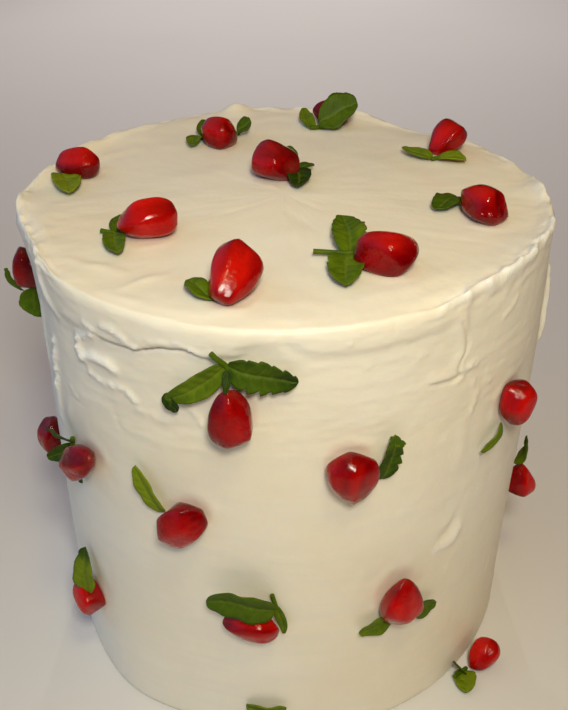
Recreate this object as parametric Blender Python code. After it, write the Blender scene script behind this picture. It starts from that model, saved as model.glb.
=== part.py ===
# A tall frosted carrot cake with pomegranate arils and small mint sprigs pressed into its frosting.
# Metres, +Z up. The origin is the centre of the cake's foot and the front looks towards -Y.
# Azimuths are in degrees round the cake, 0 at the front and positive towards +X.
# Lengths in the tables and functions are in millimetres, turned into metres when a mesh is made.

import math
import random
from collections import namedtuple

import bmesh
import bpy
import numpy as np
from mathutils import Matrix, Vector
from mathutils.bvhtree import BVHTree

MM = 0.001

# Driving dimensions
CAKE_DIAMETER = 115.0
CAKE_HEIGHT = 112.0
FOOT_ROUNDING = 1.2
LIP_WIDTH = 3.2
BAND_STEP = 1.0
LEAF_THICKNESS = 0.45
STEM_DIAMETER = 1.1
TOUCH_GAP = 0.45
ARIL_SINK = 0.8

CAKE_RADIUS = CAKE_DIAMETER / 2
LEAF_FOOT_WIDTH = 0.7

# Mesh density. The wall's rings are given by their heights, closer together where the band of frosting ends,
# and the top's rings by how far they lie in from the edge, in widths of the lip.
COLUMNS = 102
WALL_HEIGHTS = (
    FOOT_ROUNDING, 7, 14, 22, 30, 38, 46, 54, 62, 70, 78, 85, 91, 96, 100, 103, 104.8, 106.2, 107.6, 109.2,
)
TOP_INSETS = (1.0, 2.6, 5.0, 8.4, 12.5)
ARIL_SIDES = 9
ARIL_RINGS = 5
LEAF_ROWS = 5
LEAF_ACROSS = (-1.0, 0.0, 1.0)
STEM_SIDES = 6
STEM_RINGS = (0.0, 0.5, 1.0)
WELD = 0.005
CAKE_CREASE, ARIL_CREASE, LEAF_CREASE = 50, 40, 60

# Points on the frosting are found by a ray that starts this far outside it. A point past the rim of the top
# is brought back by this factor until it meets frosting. A sprig slides away from its aril in steps.
RAY_START = 40.0
RIM_STEP = 0.95
SLIDE_STEP = 0.2

# Where the hand-spread frosting departs from a true cylinder:
# azimuth, height, push outwards, spread in degrees, spread in height
Swell = namedtuple("Swell", "azimuth height push across tall")
SWELLS = (
    Swell(74, 82, 1.3, 26, 40),
    Swell(-74, 90, -1.5, 20, 30),
    Swell(-87, 112, 2.4, 12, 8),
    Swell(-40, 0, 2.0, 14, 26),
    Swell(140, 112, -2.4, 16, 30),
    Swell(-160, 60, 0.9, 30, 35),
    Swell(178, 20, -0.8, 30, 30),
    Swell(20, 60, 0.5, 25, 30),
)

# The raised lip round the top: azimuth, rise, spread in degrees
LipBump = namedtuple("LipBump", "azimuth rise across")
LIP_BUMPS = (
    LipBump(46, 1.2, 9),
    LipBump(62, 1.3, 10),
    LipBump(78, 1.0, 9),
    LipBump(90, 1.8, 5),
    LipBump(112, -0.4, 9),
    LipBump(141, -1.2, 10),
    LipBump(160, 0.8, 8),
    LipBump(180, 0.7, 8),
    LipBump(193, 2.3, 4),
    LipBump(208, 0.4, 9),
    LipBump(226, 1.3, 8),
    LipBump(242, 1.6, 9),
    LipBump(258, 1.2, 8),
    LipBump(274, 1.3, 7),
)
FRONT_SAG = LipBump(0, -0.5, 45)
LIP_SHOULDER = 1.1  # height over which the wall turns in to the lip
LIP_SETTLE = 0.35  # share of the lip's rise that still shows just inside it

# The spatula's shallow sweeps on the top: rise, waves per millimetre along X and Y in radians, start
Sweep = namedtuple("Sweep", "rise along_x along_y start")
SWEEPS = (Sweep(0.28, 0.075, 0.045, 0.6), Sweep(0.22, 0.04, -0.11, 2.0))

# The band of top frosting dragged down over the front edge: azimuth and height of its lower edge
BAND_EDGE = (
    (-46, 109.0), (-41, 104.5), (-28, 103.9), (-24, 105.4), (-20, 106.2), (-15, 105.0),
    (-6, 106.8), (6, 107.3), (22, 107.0), (30, 107.8), (37, 110.5),
)
BAND_FADE = 5.0  # degrees over which the band ends at either side
BAND_SOFT = (-0.7, 0.5)  # where the step starts and ends, from its edge

# Ridges that the spatula left on the wall: points as azimuth and height, then width and height of the ridge
Ridge = namedtuple("Ridge", "path width rise")
RIDGES = (
    Ridge(((-46, 101), (-42, 95)), 2.2, 0.9),
    Ridge(((-41, 99.5), (-36, 96)), 2.0, 0.8),
    Ridge(((-41, 93.5), (-30, 91), (-22, 88.5)), 2.4, 0.6),
    Ridge(((-59, 84), (-55, 93)), 2.6, 0.9),
    Ridge(((-72, 74), (-69, 88), (-70, 101)), 3.0, 0.5),
    Ridge(((36, 110), (36, 96), (34.5, 78)), 2.2, 0.7),
    Ridge(((74, 84), (78, 99)), 2.4, 1.5),
    Ridge(((120, 60), (117, 84), (121, 103)), 2.8, 0.8),
    Ridge(((158, 88), (176, 93), (192, 91)), 2.6, 0.7),
    Ridge(((208, 52), (213, 74)), 2.8, 0.7),
    Ridge(((236, 98), (250, 92)), 2.6, 0.8),
)

# A leaf or a stem in the plane that it lies on, in millimetres from the middle of its aril:
# from and to, width, rise of the foot, middle and tip above the frosting, bend in degrees, roll in degrees
Blade = namedtuple("Blade", "start end width rise bend roll", defaults=((0.0, 0.6, 1.0), 0.0, 0.0))
Stem = namedtuple("Stem", "start end rise", defaults=((0.1, 0.4),))

# An aril: length, width, height, direction of its narrow end in degrees, how narrow that end is,
# and how far its wide end is raised in degrees
Aril = namedtuple("Aril", "length width height heading taper lean", defaults=(0.0,))

# On the top, a place is the x and y of the aril's middle. On the wall it is its azimuth and height.
# At the foot it is its azimuth and its distance from the wall's cylinder, beside the cake.
Garnish = namedtuple("Garnish", "seat place aril leaves")

TOP = (
    Garnish("top", (-47.7, 13.3), Aril(10.4, 8.2, 7.8, 176, 0.30),
            (Blade((-4.2, -3.0), (0.3, -14.0), 6.2, (0.2, 1.0, 0.5), 12),)),
    Garnish("top", (-15.6, 30.8), Aril(9.0, 8.6, 8.4, 150, 0.16),
            (Stem((-5.4, 2.8), (4.6, 5.2)),
             Blade((-4.8, 2.8), (-7.0, -4.8), 3.8, (0.2, 1.0, 0.5), -20),
             Blade((-4.1, 3.1), (-4.5, 8.8), 3.4, (0.3, 1.6, 2.4), 10),
             Blade((4.0, 5.0), (8.4, 6.4), 5.2, (0.2, 2.2, 4.0), 0))),
    Garnish("top", (12.7, 47.0), Aril(9.6, 7.8, 7.4, 175, 0.25),
            (Stem((-2.2, -5.6), (-5.6, -6.6)),
             Blade((-2.6, -5.9), (7.6, -6.6), 9.8, (0.3, 1.4, 1.2), 0, 46),
             Blade((-5.0, -6.4), (-7.0, 1.6), 3.2, (0.2, 1.2, 2.2), 14))),
    Garnish("top", (39.6, 24.2), Aril(10.6, 7.8, 7.6, 214, 0.34, 28),
            (Stem((-4.4, -6.6), (-2.2, -6.2)),
             Blade((-4.2, -6.5), (-9.9, -0.6), 3.8, (0.2, 0.9, 0.6), 16),
             Blade((-2.6, -6.2), (3.6, -8.6), 4.4, (0.2, 0.9, 0.3), 12))),
    Garnish("top", (41.5, -13.4), Aril(11.6, 8.4, 8.2, 116, 0.28),
            (Blade((-3.8, 9.2), (-9.4, 2.0), 5.6, (0.2, 0.9, 0.5), 8),)),
    Garnish("top", (-2.0, 8.8), Aril(11.8, 9.8, 9.0, 318, 0.22),
            (Stem((4.8, 2.6), (5.8, -0.2)),
             Blade((5.2, 1.0), (6.2, -8.6), 5.4, (0.2, 1.3, 0.4), 16),
             Blade((5.4, 0.6), (9.8, 2.6), 2.6, (0.2, 1.2, 0.8), 6),
             Blade((5.0, 2.2), (4.2, 9.4), 3.0, (0.2, 1.6, 3.0), -10))),
    Garnish("top", (-27.8, -20.8), Aril(12.2, 9.6, 9.0, 204, 0.30),
            (Stem((-6.2, -0.9), (-9.4, 0.0)),
             Blade((-6.7, -0.7), (-5.8, 6.8), 2.8, (0.2, 0.8, 0.5), 12),
             Blade((-6.7, -1.0), (-4.0, -9.6), 4.2, (0.2, 0.9, 0.4), -10))),
    Garnish("top", (-9.2, -44.6), Aril(13.4, 10.0, 9.2, 252, 0.38, 18),
            (Blade((-4.0, -3.4), (-8.0, 3.0), 4.4, (0.2, 1.0, 0.6), 14),)),
    Garnish("top", (19.1, -36.5), Aril(12.2, 9.2, 8.6, 154, 0.22),
            (Stem((-6.2, 5.4), (-12.6, 5.7), (0.3, 0.8)),
             Blade((-6.4, 5.7), (-5.4, 20.0), 8.0, (0.3, 1.4, 1.2), 0),
             Blade((-6.4, 5.4), (-6.4, -8.8), 7.2, (0.3, 1.1, 0.4), -10))),
)

WALL = (
    Garnish("wall", (-89, 95), Aril(10.8, 7.8, 8.2, 80, 0.26),
            (Stem((-1.6, -6.2), (1.0, -6.0), (1.0, 1.2)),
             Blade((0.3, -5.9), (0.9, -12.0), 6.2, (1.3, 4.0, 5.2), -6),
             Blade((-0.9, -5.9), (-3.2, -7.2), 3.4, (1.2, 4.2, 7.4), 0))),
    Garnish("wall", (-9.6, 94.4), Aril(12.4, 8.6, 7.6, 90, 0.34),
            (Stem((-0.4, 9.2), (-3.0, 13.0), (0.3, 0.9)),
             Blade((-0.5, 9.9), (11.3, 7.8), 6.4, (0.4, 1.5, 0.8), -4),
             Blade((-1.0, 9.9), (-11.8, -0.4), 4.4, (0.4, 1.3, 1.6), 12))),
    Garnish("wall", (11.4, 80), Aril(11.6, 10.8, 7.8, 276, 0.46),
            (Blade((5.8, -2.8), (8.8, 6.4), 4.4, (0.2, 1.2, 1.8), -14),)),
    Garnish("wall", (51.6, 81.2), Aril(9.8, 8.8, 7.4, 240, 0.26),
            (Blade((-1.8, -5.2), (-9.0, -7.8), 2.4, (0.2, 1.2, 0.6), 2),)),
    Garnish("wall", (-20.9, 65.8), Aril(12.8, 8.4, 7.4, 225, 0.22),
            (Blade((-4.8, 0.0), (-9.5, 10.4), 3.8, (0.2, 1.2, 0.8), 10),)),
    Garnish("wall", (-82, 50.0), Aril(8.8, 8.0, 8.8, 92, 0.24),
            (Blade((-1.0, -5.6), (-5.8, -12.0), 4.4, (0.2, 1.0, 0.6), 10),)),
    Garnish("wall", (-46.4, 70), Aril(10.4, 8.6, 7.2, 20, 0.34),
            (Stem((-6.2, 1.4), (-6.9, -3.2)),
             Blade((-6.5, 0.4), (-8.2, 4.8), 4.2, (0.2, 2.8, 4.4), -8),
             Blade((-6.6, -0.8), (-11.0, -5.0), 3.2, (0.2, 2.6, 4.6), 10),
             Blade((-6.8, -2.4), (-4.0, -9.6), 3.0, (0.1, 0.9, 0.4), 20))),
    Garnish("wall", (-53.0, 23.0), Aril(9.0, 8.8, 7.2, 142, 0.30),
            (Blade((1.8, 4.6), (-0.8, 13.6), 6.0, (1.2, 0.8, 0.4), 0, 48),)),
    Garnish("wall", (-7.8, 38.2), Aril(12.4, 8.0, 6.6, 178, 0.22),
            (Stem((4.4, 7.8), (5.3, 4.2)),
             Blade((4.4, 7.6), (-8.4, 8.6), 8.2, (0.3, 4.8, 1.8), -24),
             Blade((5.2, 5.0), (6.8, -3.0), 1.8, (0.3, 1.0, 0.5), 14))),
    Garnish("wall", (23.5, 42.3), Aril(12.0, 10.4, 7.6, 84, 0.38),
            (Stem((-1.0, -7.4), (3.6, -8.0)),
             Blade((-0.7, -7.5), (-8.2, -8.8), 4.6, (0.2, 1.1, 0.5), -14),
             Blade((3.0, -8.0), (10.2, -8.4), 4.2, (0.2, 1.3, 0.8), 18))),
    Garnish("foot", (51.4, 5.0), Aril(9.4, 7.0, 6.6, 192, 0.34, 34),
            (Stem((-4.6, -2.4), (-9.6, -2.8), (0.2, 2.4)),
             Blade((-5.2, -2.2), (-11.2, 1.2), 5.4, (0.2, 1.1, 0.5), 6),
             Blade((-5.6, -2.5), (-8.6, -3.8), 3.6, (0.2, 2.6, 5.2), 0))),
    Garnish("wall", (80.4, 36.6), Aril(9.8, 7.8, 8.4, 90, 0.46),
            (Blade((0.4, 5.6), (0.4, 13.4), 4.4, (0.4, 2.4, 2.0), -6),)),
    Garnish("wall", (96, 102), Aril(10.0, 7.6, 7.0, 80, 0.26),
            (Blade((3.6, -4.8), (8.0, -11.4), 4.4, (0.2, 1.0, 0.6), 10),)),
    Garnish("wall", (-5.6, 4.6), Aril(9.0, 7.6, 6.4, 176, 0.24),
            (Blade((-4.4, 5.6), (4.8, 6.4), 4.2, (0.2, 1.2, 0.4), -10),)),
)

# An aril's section: how full its ends are, how soon it narrows, and its flat sides as depth, number and twist
ARIL_FULLNESS, ARIL_NARROWING, ARIL_TIP_LIFT = 2.6, 1.4, 0.06
FlatSides = namedtuple("FlatSides", "depth number twist turns")
ARIL_FLATS = (FlatSides(0.07, 3, 0.0, 1), FlatSides(0.05, 5, 2.0, -2))
ARIL_TURN, BACK_TURN = 1.7, 1.3  # each aril's flat sides are turned on by this many radians

# A leaf's outline and its unevenness: where it is widest, how full it is, how much narrower its outer half is,
# the upturn of its two halves and the waves along them
LeafForm = namedtuple("LeafForm", "widest full narrowing cup wave waves")
LEAF_FORM = LeafForm(0.85, 0.62, 0.18, 0.16, 0.12, 2.2)

# The side away from the front: rows of garnishes, each row turned by half a step against the one below
BackRows = namedtuple("BackRows", "heights columns first step turn scatter sizes seed")
BACK = BackRows((14, 39, 65, 92), 3, 112, 50, 24, 4.0, (0.88, 1.08), 7)
BACK_ARIL = Aril(11.4, 8.4, 7.4, 0, 0.30)
BACK_LEAF = Blade((1.6, 0.0), (13.6, 0.0), 4.8, (1.5, 1.3, 0.6))

# Colours, roughness: linear RGB
FROSTING_LOOK = ((0.83, 0.80, 0.70), 0.45)
ARIL_LOOK = ((0.42, 0.008, 0.012), 0.15)
LEAF_LOOK = ((0.05, 0.16, 0.02), 0.5)


def smooth_step(low, high, value):
    t = np.clip((value - low) / (high - low), 0.0, 1.0)
    return t * t * (3 - 2 * t)


def turn_between(azimuth, centre):
    return (azimuth - centre + 180.0) % 360.0 - 180.0


def bell(value, spread):
    return np.exp(-(value / spread) ** 2)


def stroke(azimuth, height, path, width):
    # 1 on a line drawn on the wall, fading to 0 over its width
    nearest = np.full(np.broadcast(azimuth, height).shape, 1e9)
    degree = math.radians(1.0) * CAKE_RADIUS
    for (a0, h0), (a1, h1) in zip(path, path[1:]):
        dx, dz = (a1 - a0) * degree, h1 - h0
        px, pz = turn_between(azimuth, a0) * degree, height - h0
        along = np.clip((px * dx + pz * dz) / (dx * dx + dz * dz), 0.0, 1.0)
        nearest = np.minimum(nearest, np.hypot(px - along * dx, pz - along * dz))
    return bell(nearest, width)


def band_proud(azimuth, height):
    # How far the dragged-down band stands out: a step along its uneven lower edge
    edges = np.array(BAND_EDGE)
    around = turn_between(azimuth, 0.0)
    edge = np.interp(around, edges[:, 0], edges[:, 1])
    first, last = edges[0, 0], edges[-1, 0]
    inside = smooth_step(first, first + BAND_FADE, around) * (1 - smooth_step(last - BAND_FADE, last, around))
    return BAND_STEP * inside * smooth_step(edge + BAND_SOFT[0], edge + BAND_SOFT[1], height)


def wall_radius(azimuth, height):
    radius = CAKE_RADIUS + band_proud(azimuth, height)
    for swell in SWELLS:
        radius = radius + (swell.push * bell(turn_between(azimuth, swell.azimuth), swell.across)
                           * bell(height - swell.height, swell.tall))
    for ridge in RIDGES:
        radius = radius + ridge.rise * stroke(azimuth, height, ridge.path, ridge.width)
    return radius


def lip_rise(azimuth):
    rise = FRONT_SAG.rise * bell(turn_between(azimuth, FRONT_SAG.azimuth), FRONT_SAG.across)
    for bump in LIP_BUMPS:
        rise = rise + bump.rise * bell(turn_between(azimuth, bump.azimuth), bump.across)
    return rise


def top_height(x, y):
    return CAKE_HEIGHT + sum(s.rise * np.sin(s.along_x * x + s.along_y * y + s.start) for s in SWEEPS)


def cake_profile(azimuth):
    # Rings of radius and height for one azimuth, from the foot up the wall, over the lip and in to the middle
    x_dir, y_dir = np.sin(np.radians(azimuth)), -np.cos(np.radians(azimuth))
    foot = wall_radius(azimuth, 0.0)
    rings = [(foot - FOOT_ROUNDING, 0.0 * azimuth)]
    for height in WALL_HEIGHTS:
        rings.append((wall_radius(azimuth, height), height + 0.0 * azimuth))
    rise = lip_rise(azimuth)
    edge = wall_radius(azimuth, CAKE_HEIGHT)
    rings.append((edge - LIP_WIDTH / 20, CAKE_HEIGHT - LIP_SHOULDER + rise / 2))
    rings.append((edge - LIP_WIDTH / 3, CAKE_HEIGHT + rise))
    for widths in TOP_INSETS:
        radius = edge - widths * LIP_WIDTH
        settle = LIP_SETTLE * rise * bell(widths - 1.0, 1.0)
        rings.append((radius, top_height(radius * x_dir, radius * y_dir) + settle))
    return rings


def make_object(name, bm, look, smooth_angle):
    bmesh.ops.recalc_face_normals(bm, faces=bm.faces)
    mesh = bpy.data.meshes.new(name)
    bm.to_mesh(mesh)
    bm.free()
    mesh.shade_smooth()
    mesh.set_sharp_from_angle(angle=math.radians(smooth_angle))
    obj = bpy.data.objects.new(name, mesh)
    obj.data.materials.append(look)
    bpy.context.collection.objects.link(obj)
    return obj


def material(name, colour, roughness):
    mat = bpy.data.materials.new(name)
    mat.use_nodes = True
    shader = mat.node_tree.nodes["Principled BSDF"]
    shader.inputs["Base Color"].default_value = (*colour, 1.0)
    shader.inputs["Roughness"].default_value = roughness
    shader.inputs["Metallic"].default_value = 0.0
    return mat


def build_cake(look):
    azimuths = np.arange(COLUMNS) * 360.0 / COLUMNS
    rings = cake_profile(azimuths)
    bm = bmesh.new()
    loops = []
    for radius, height in rings:
        xs, ys = radius * np.sin(np.radians(azimuths)), -radius * np.cos(np.radians(azimuths))
        zs = np.broadcast_to(height, azimuths.shape)
        loops.append([bm.verts.new((x * MM, y * MM, z * MM)) for x, y, z in zip(xs, ys, zs)])
    for lower, upper in zip(loops, loops[1:]):
        for i in range(COLUMNS):
            j = (i + 1) % COLUMNS
            bm.faces.new((lower[i], lower[j], upper[j], upper[i]))
    foot_centre = bm.verts.new((0, 0, 0))
    crown = bm.verts.new((0, 0, float(top_height(0.0, 0.0)) * MM))
    for i in range(COLUMNS):
        j = (i + 1) % COLUMNS
        bm.faces.new((loops[0][j], loops[0][i], foot_centre))
        bm.faces.new((loops[-1][i], loops[-1][j], crown))
    bmesh.ops.triangulate(bm, faces=bm.faces)
    return make_object("cake", bm, look, CAKE_CREASE)


class Seat:
    # A place that a garnish lies on: plane coordinates a and b in millimetres, and n outwards from it.
    # On the top a runs along X and b along Y. On the wall a runs round the cake and b up.
    # At the foot, beside the cake on what it stands on, a runs along the wall and b away from it.

    def __init__(self, surface, kind, place):
        self.surface = surface
        self.kind = kind
        self.place = place
        azimuth = math.radians(place[0])
        self.out = Vector((math.sin(azimuth), -math.cos(azimuth), 0))
        self.side = Vector((math.cos(azimuth), math.sin(azimuth), 0))

    def outside(self, a, b):
        # A point well clear of the frosting above a, b, and the way outwards there
        if self.kind == "top":
            above = Vector((self.place[0] + a, self.place[1] + b, CAKE_HEIGHT + RAY_START))
            return above * MM, Vector((0, 0, 1))
        if self.kind == "foot":
            return (self.out * (CAKE_RADIUS + self.place[1] + b) + self.side * a) * MM, Vector((0, 0, 1))
        azimuth = math.radians(self.place[0]) + a / CAKE_RADIUS
        out = Vector((math.sin(azimuth), -math.cos(azimuth), 0))
        point = out * (CAKE_RADIUS + RAY_START)
        point.z = self.place[1] + b
        return point * MM, out

    def point(self, a, b, n):
        # The point n above the surface. Past the rim of the top it keeps the height of the last frosting met.
        start, out = self.outside(a, b)
        if self.kind == "foot":
            return start + out * (n * MM)
        hit = self.surface.ray_cast(start, -out)[0]
        while hit is None:
            a, b = a * RIM_STEP, b * RIM_STEP
            hit = self.surface.ray_cast(self.outside(a, b)[0], -out)[0]
            if hit is not None:
                hit = start + out * (hit - start).dot(out)
        return hit + out * (n * MM)

    def free_point(self, a, b, n):
        # The point at a, b, n in the flat plane that touches the surface at the garnish's middle
        if self.kind == "wall":
            return self.point(0, 0, 0) + (self.side * a + Vector((0, 0, b)) + self.out * n) * MM
        start = self.outside(a, b)[0]
        start.z = self.point(0, 0, n).z
        return start

    def pressed(self, a, b, n):
        # The same point, pressed flat where it would reach into the frosting
        free = self.free_point(a, b, n)
        ground = self.point(a, b, TOUCH_GAP)
        out = self.outside(a, b)[1]
        return free if (free - ground).dot(out) > 0 else ground


def aril_section(t, angle, aril, turn):
    # Half size of the aril at t along it (-1 to 1), with flat sides where it was pressed by its neighbours
    body = max(0.0, 1 - abs(t) ** ARIL_FULLNESS) ** 0.5
    body *= 1 - aril.taper * (0.5 + 0.5 * t) ** ARIL_NARROWING
    flats = sum(f.depth * math.cos(f.number * angle + f.turns * turn + f.twist * t) for f in ARIL_FLATS)
    return body * (1.0 + flats)


def build_aril(name, seat, aril, look, turn):
    bm = bmesh.new()
    heading, lean = math.radians(aril.heading), math.radians(aril.lean)
    along = Vector((math.cos(heading), math.sin(heading)))
    across = Vector((-along.y, along.x))
    reach = math.hypot(aril.length / 2 * math.sin(lean), aril.height / 2 * math.cos(lean))
    middle = reach - ARIL_SINK

    def place(u, v, w):
        flat = along * (u * math.cos(lean) + w * math.sin(lean)) + across * v
        return seat.pressed(flat.x, flat.y, middle - u * math.sin(lean) + w * math.cos(lean))

    stations = [-math.cos(math.pi * (k + 0.75) / (ARIL_RINGS + 0.5)) for k in range(ARIL_RINGS)]
    rings = []
    for t in stations:
        ring = []
        for k in range(ARIL_SIDES):
            angle = 2 * math.pi * k / ARIL_SIDES
            size = aril_section(t, angle, aril, turn)
            v = math.cos(angle) * size * aril.width / 2
            w = math.sin(angle) * size * aril.height / 2
            ring.append(bm.verts.new(place(t * aril.length / 2, v, w)))
        rings.append(ring)
    for lower, upper in zip(rings, rings[1:]):
        for i in range(ARIL_SIDES):
            j = (i + 1) % ARIL_SIDES
            bm.faces.new((lower[i], lower[j], upper[j], upper[i]))
    wide = bm.verts.new(place(-aril.length / 2, 0, 0))
    narrow = bm.verts.new(place(aril.length / 2, 0, ARIL_TIP_LIFT * aril.height))
    for i in range(ARIL_SIDES):
        j = (i + 1) % ARIL_SIDES
        bm.faces.new((rings[0][j], rings[0][i], wide))
        bm.faces.new((rings[-1][i], rings[-1][j], narrow))
    bmesh.ops.triangulate(bm, faces=bm.faces)
    return make_object(name, bm, look, ARIL_CREASE)


def leaf_outline(t):
    # Half width of a leaf at t along it, 0 at the foot and 1 at the tip
    return math.sin(math.pi * t ** LEAF_FORM.widest) ** LEAF_FORM.full * (1 - LEAF_FORM.narrowing * t)


def blade_path(blade, t):
    # Middle line of the leaf: a chord bowed sideways, so that it starts out turned by about its bend
    start, end = Vector(blade.start), Vector(blade.end)
    chord = end - start
    side = Vector((-chord.y, chord.x))
    bow = math.tan(math.radians(blade.bend)) * t * (1 - t)
    return start + chord * t + side * bow, side.normalized()


def blade_rise(blade, t):
    # The parabola through the rises of the foot, the middle and the tip
    low, mid, high = blade.rise
    return low * (1 - t) * (1 - 2 * t) + mid * 4 * t * (1 - t) + high * t * (2 * t - 1)


def build_blade(name, seat, blade, look):
    # A thin wavy solid whose two faces are split into triangles alike
    bm = bmesh.new()
    grids = ([], [])
    roll = math.radians(blade.roll)
    for row in range(LEAF_ROWS + 1):
        t = row / LEAF_ROWS
        middle, side = blade_path(blade, t)
        half = max(LEAF_FOOT_WIDTH, leaf_outline(t) * blade.width) / 2 if t < 1 else 0.0
        for level in (0, 1):
            line = []
            for across in LEAF_ACROSS:
                offset = across * half
                flat = middle + side * (offset * math.cos(roll))
                wave = LEAF_FORM.wave * half * math.sin(LEAF_FORM.waves * math.pi * t + across)
                cup = LEAF_FORM.cup * abs(offset) + wave
                tilt = (half + offset) * math.sin(roll)
                n = TOUCH_GAP + max(0.0, blade_rise(blade, t) + cup + tilt) + level * LEAF_THICKNESS
                line.append(bm.verts.new(seat.point(flat.x, flat.y, n)))
                if t == 1:
                    break
            grids[level].append(line)
    for level in (0, 1):
        for low, high in zip(grids[level], grids[level][1:]):
            for i in range(len(low) - 1):
                if len(high) == 1:
                    bm.faces.new((low[i], low[i + 1], high[0]))
                else:
                    bm.faces.new((low[i], low[i + 1], high[i + 1]))
                    bm.faces.new((low[i], high[i + 1], high[i]))
    lower, upper = [
        [line[0] for line in grid] + [line[-1] for line in reversed(grid[:-1])] + [grid[0][1]]
        for grid in grids
    ]
    for i in range(len(lower)):
        j = (i + 1) % len(lower)
        bm.faces.new((lower[i], lower[j], upper[j], upper[i]))
    bmesh.ops.triangulate(bm, faces=bm.faces)
    return make_object(name, bm, look, LEAF_CREASE)


def build_stem(name, seat, stem, look):
    # A short round stalk with flat ends
    bm = bmesh.new()
    start, end = Vector(stem.start), Vector(stem.end)
    along = (end - start).normalized()
    side = Vector((-along.y, along.x))
    radius = STEM_DIAMETER / 2
    rings = []
    for t in STEM_RINGS:
        middle = start + (end - start) * t
        lift = TOUCH_GAP + radius + stem.rise[0] + (stem.rise[1] - stem.rise[0]) * t
        ring = []
        for k in range(STEM_SIDES):
            angle = 2 * math.pi * (k + 0.5) / STEM_SIDES
            flat = middle + side * (radius * math.cos(angle))
            ring.append(bm.verts.new(seat.point(flat.x, flat.y, lift + radius * math.sin(angle))))
        rings.append(ring)
    for lower, upper in zip(rings, rings[1:]):
        for i in range(STEM_SIDES):
            j = (i + 1) % STEM_SIDES
            bm.faces.new((lower[i], lower[j], upper[j], upper[i]))
    bm.faces.new(list(reversed(rings[0])))
    bm.faces.new(rings[-1])
    bmesh.ops.triangulate(bm, faces=bm.faces)
    return make_object(name, bm, look, LEAF_CREASE)


def union(name, pieces):
    # One Boolean union on a collection, applied, after which the pieces are removed
    base, others = pieces[0], pieces[1:]
    base.name = name
    if not others:
        return base
    group = bpy.data.collections.new(name + "_pieces")
    bpy.context.scene.collection.children.link(group)
    for other in others:
        group.objects.link(other)
    modifier = base.modifiers.new("union", "BOOLEAN")
    modifier.operation = "UNION"
    modifier.operand_type = "COLLECTION"
    modifier.collection = group
    modifier.solver = "EXACT"
    bpy.context.view_layer.update()
    evaluated = base.evaluated_get(bpy.context.evaluated_depsgraph_get())
    joined = bpy.data.meshes.new_from_object(evaluated)
    base.modifiers.clear()
    old = base.data
    base.data = joined
    bpy.data.meshes.remove(old)
    joined.name = name
    for other in others:
        bpy.data.objects.remove(other, do_unlink=True)
    bpy.data.collections.remove(group)
    bm = bmesh.new()
    bm.from_mesh(joined)
    bmesh.ops.remove_doubles(bm, verts=bm.verts, dist=WELD * MM)
    bmesh.ops.triangulate(bm, faces=bm.faces)
    bm.to_mesh(joined)
    bm.free()
    return base


def mesh_tree(obj):
    return BVHTree.FromObject(obj, bpy.context.evaluated_depsgraph_get())


def build_piece(name, seat, piece, look):
    if isinstance(piece, Stem):
        return build_stem(name, seat, piece, look)
    return build_blade(name, seat, piece, look)


def build_sprig(name, seat, leaves, aril, look):
    # All the leaves of a sprig move out together, so that they stay joined at their stem
    shift = 0.0
    tree = mesh_tree(aril)
    while True:
        move = Vector(leaves[0].start).normalized() * shift
        pieces = []
        for i, leaf in enumerate(leaves):
            moved = leaf._replace(start=tuple(Vector(leaf.start) + move), end=tuple(Vector(leaf.end) + move))
            pieces.append(build_piece(f"{name}_{i}", seat, moved, look))
        bpy.context.view_layer.update()
        near = min(tree.find_nearest(v.co)[3] for p in pieces for v in p.data.vertices)
        if near >= TOUCH_GAP * MM and not any(tree.overlap(mesh_tree(p)) for p in pieces):
            return union(name, pieces)
        for p in pieces:
            bpy.data.objects.remove(p, do_unlink=True)
        shift += SLIDE_STEP


def build_back(surface, looks):
    # The wall that the front hides: each aril is one solid with the leaf that is tucked under it
    draw = random.Random(BACK.seed)
    aril_look, leaf_look = looks
    number = 0
    for row, row_height in enumerate(BACK.heights):
        for column in range(BACK.columns):
            number += 1
            azimuth = BACK.first + BACK.step * column + BACK.turn * (row % 2)
            azimuth += draw.uniform(-1, 1) * BACK.scatter
            height = row_height + draw.uniform(-1, 1) * BACK.scatter
            size = draw.uniform(*BACK.sizes)
            heading = draw.uniform(0, 360)
            leaf_way = draw.uniform(0, 360)
            seat = Seat(surface, "wall", (azimuth, height))
            aril = BACK_ARIL._replace(
                length=BACK_ARIL.length * size, width=BACK_ARIL.width * size, heading=heading)
            name = f"garnish_back_{number:02d}"
            body = build_aril(name, seat, aril, aril_look, BACK_TURN * number)
            leaf = build_blade(name + "_leaf", seat, turned(BACK_LEAF, leaf_way), leaf_look)
            union(name, [body, leaf])


def turned(piece, degrees):
    # The same leaf turned round the middle of its aril
    turn = Matrix.Rotation(math.radians(degrees), 2)
    return piece._replace(start=tuple(turn @ Vector(piece.start)), end=tuple(turn @ Vector(piece.end)))


for old in list(bpy.data.objects):
    bpy.data.objects.remove(old, do_unlink=True)

frosting = material("frosting", *FROSTING_LOOK)
red = material("aril", *ARIL_LOOK)
green = material("leaf", *LEAF_LOOK)

cake = build_cake(frosting)
bpy.context.view_layer.update()
cake_surface = mesh_tree(cake)

for where, garnishes in (("top", TOP), ("wall", WALL)):
    for number, garnish in enumerate(garnishes, start=1):
        seat = Seat(cake_surface, garnish.seat, garnish.place)
        aril = build_aril(f"aril_{where}_{number:02d}", seat, garnish.aril, red, ARIL_TURN * number)
        bpy.context.view_layer.update()
        build_sprig(f"sprig_{where}_{number:02d}", seat, garnish.leaves, aril, green)

build_back(cake_surface, (red, green))
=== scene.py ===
# A tall carrot cake in hand-spread cream frosting, dotted with pomegranate arils and small mint sprigs.
# The dictionaries are in millimetres and degrees, the scene is in metres.
# Azimuth 0 is the front, towards -Y, and it grows towards +X.
import math
import random
from collections import namedtuple

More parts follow.
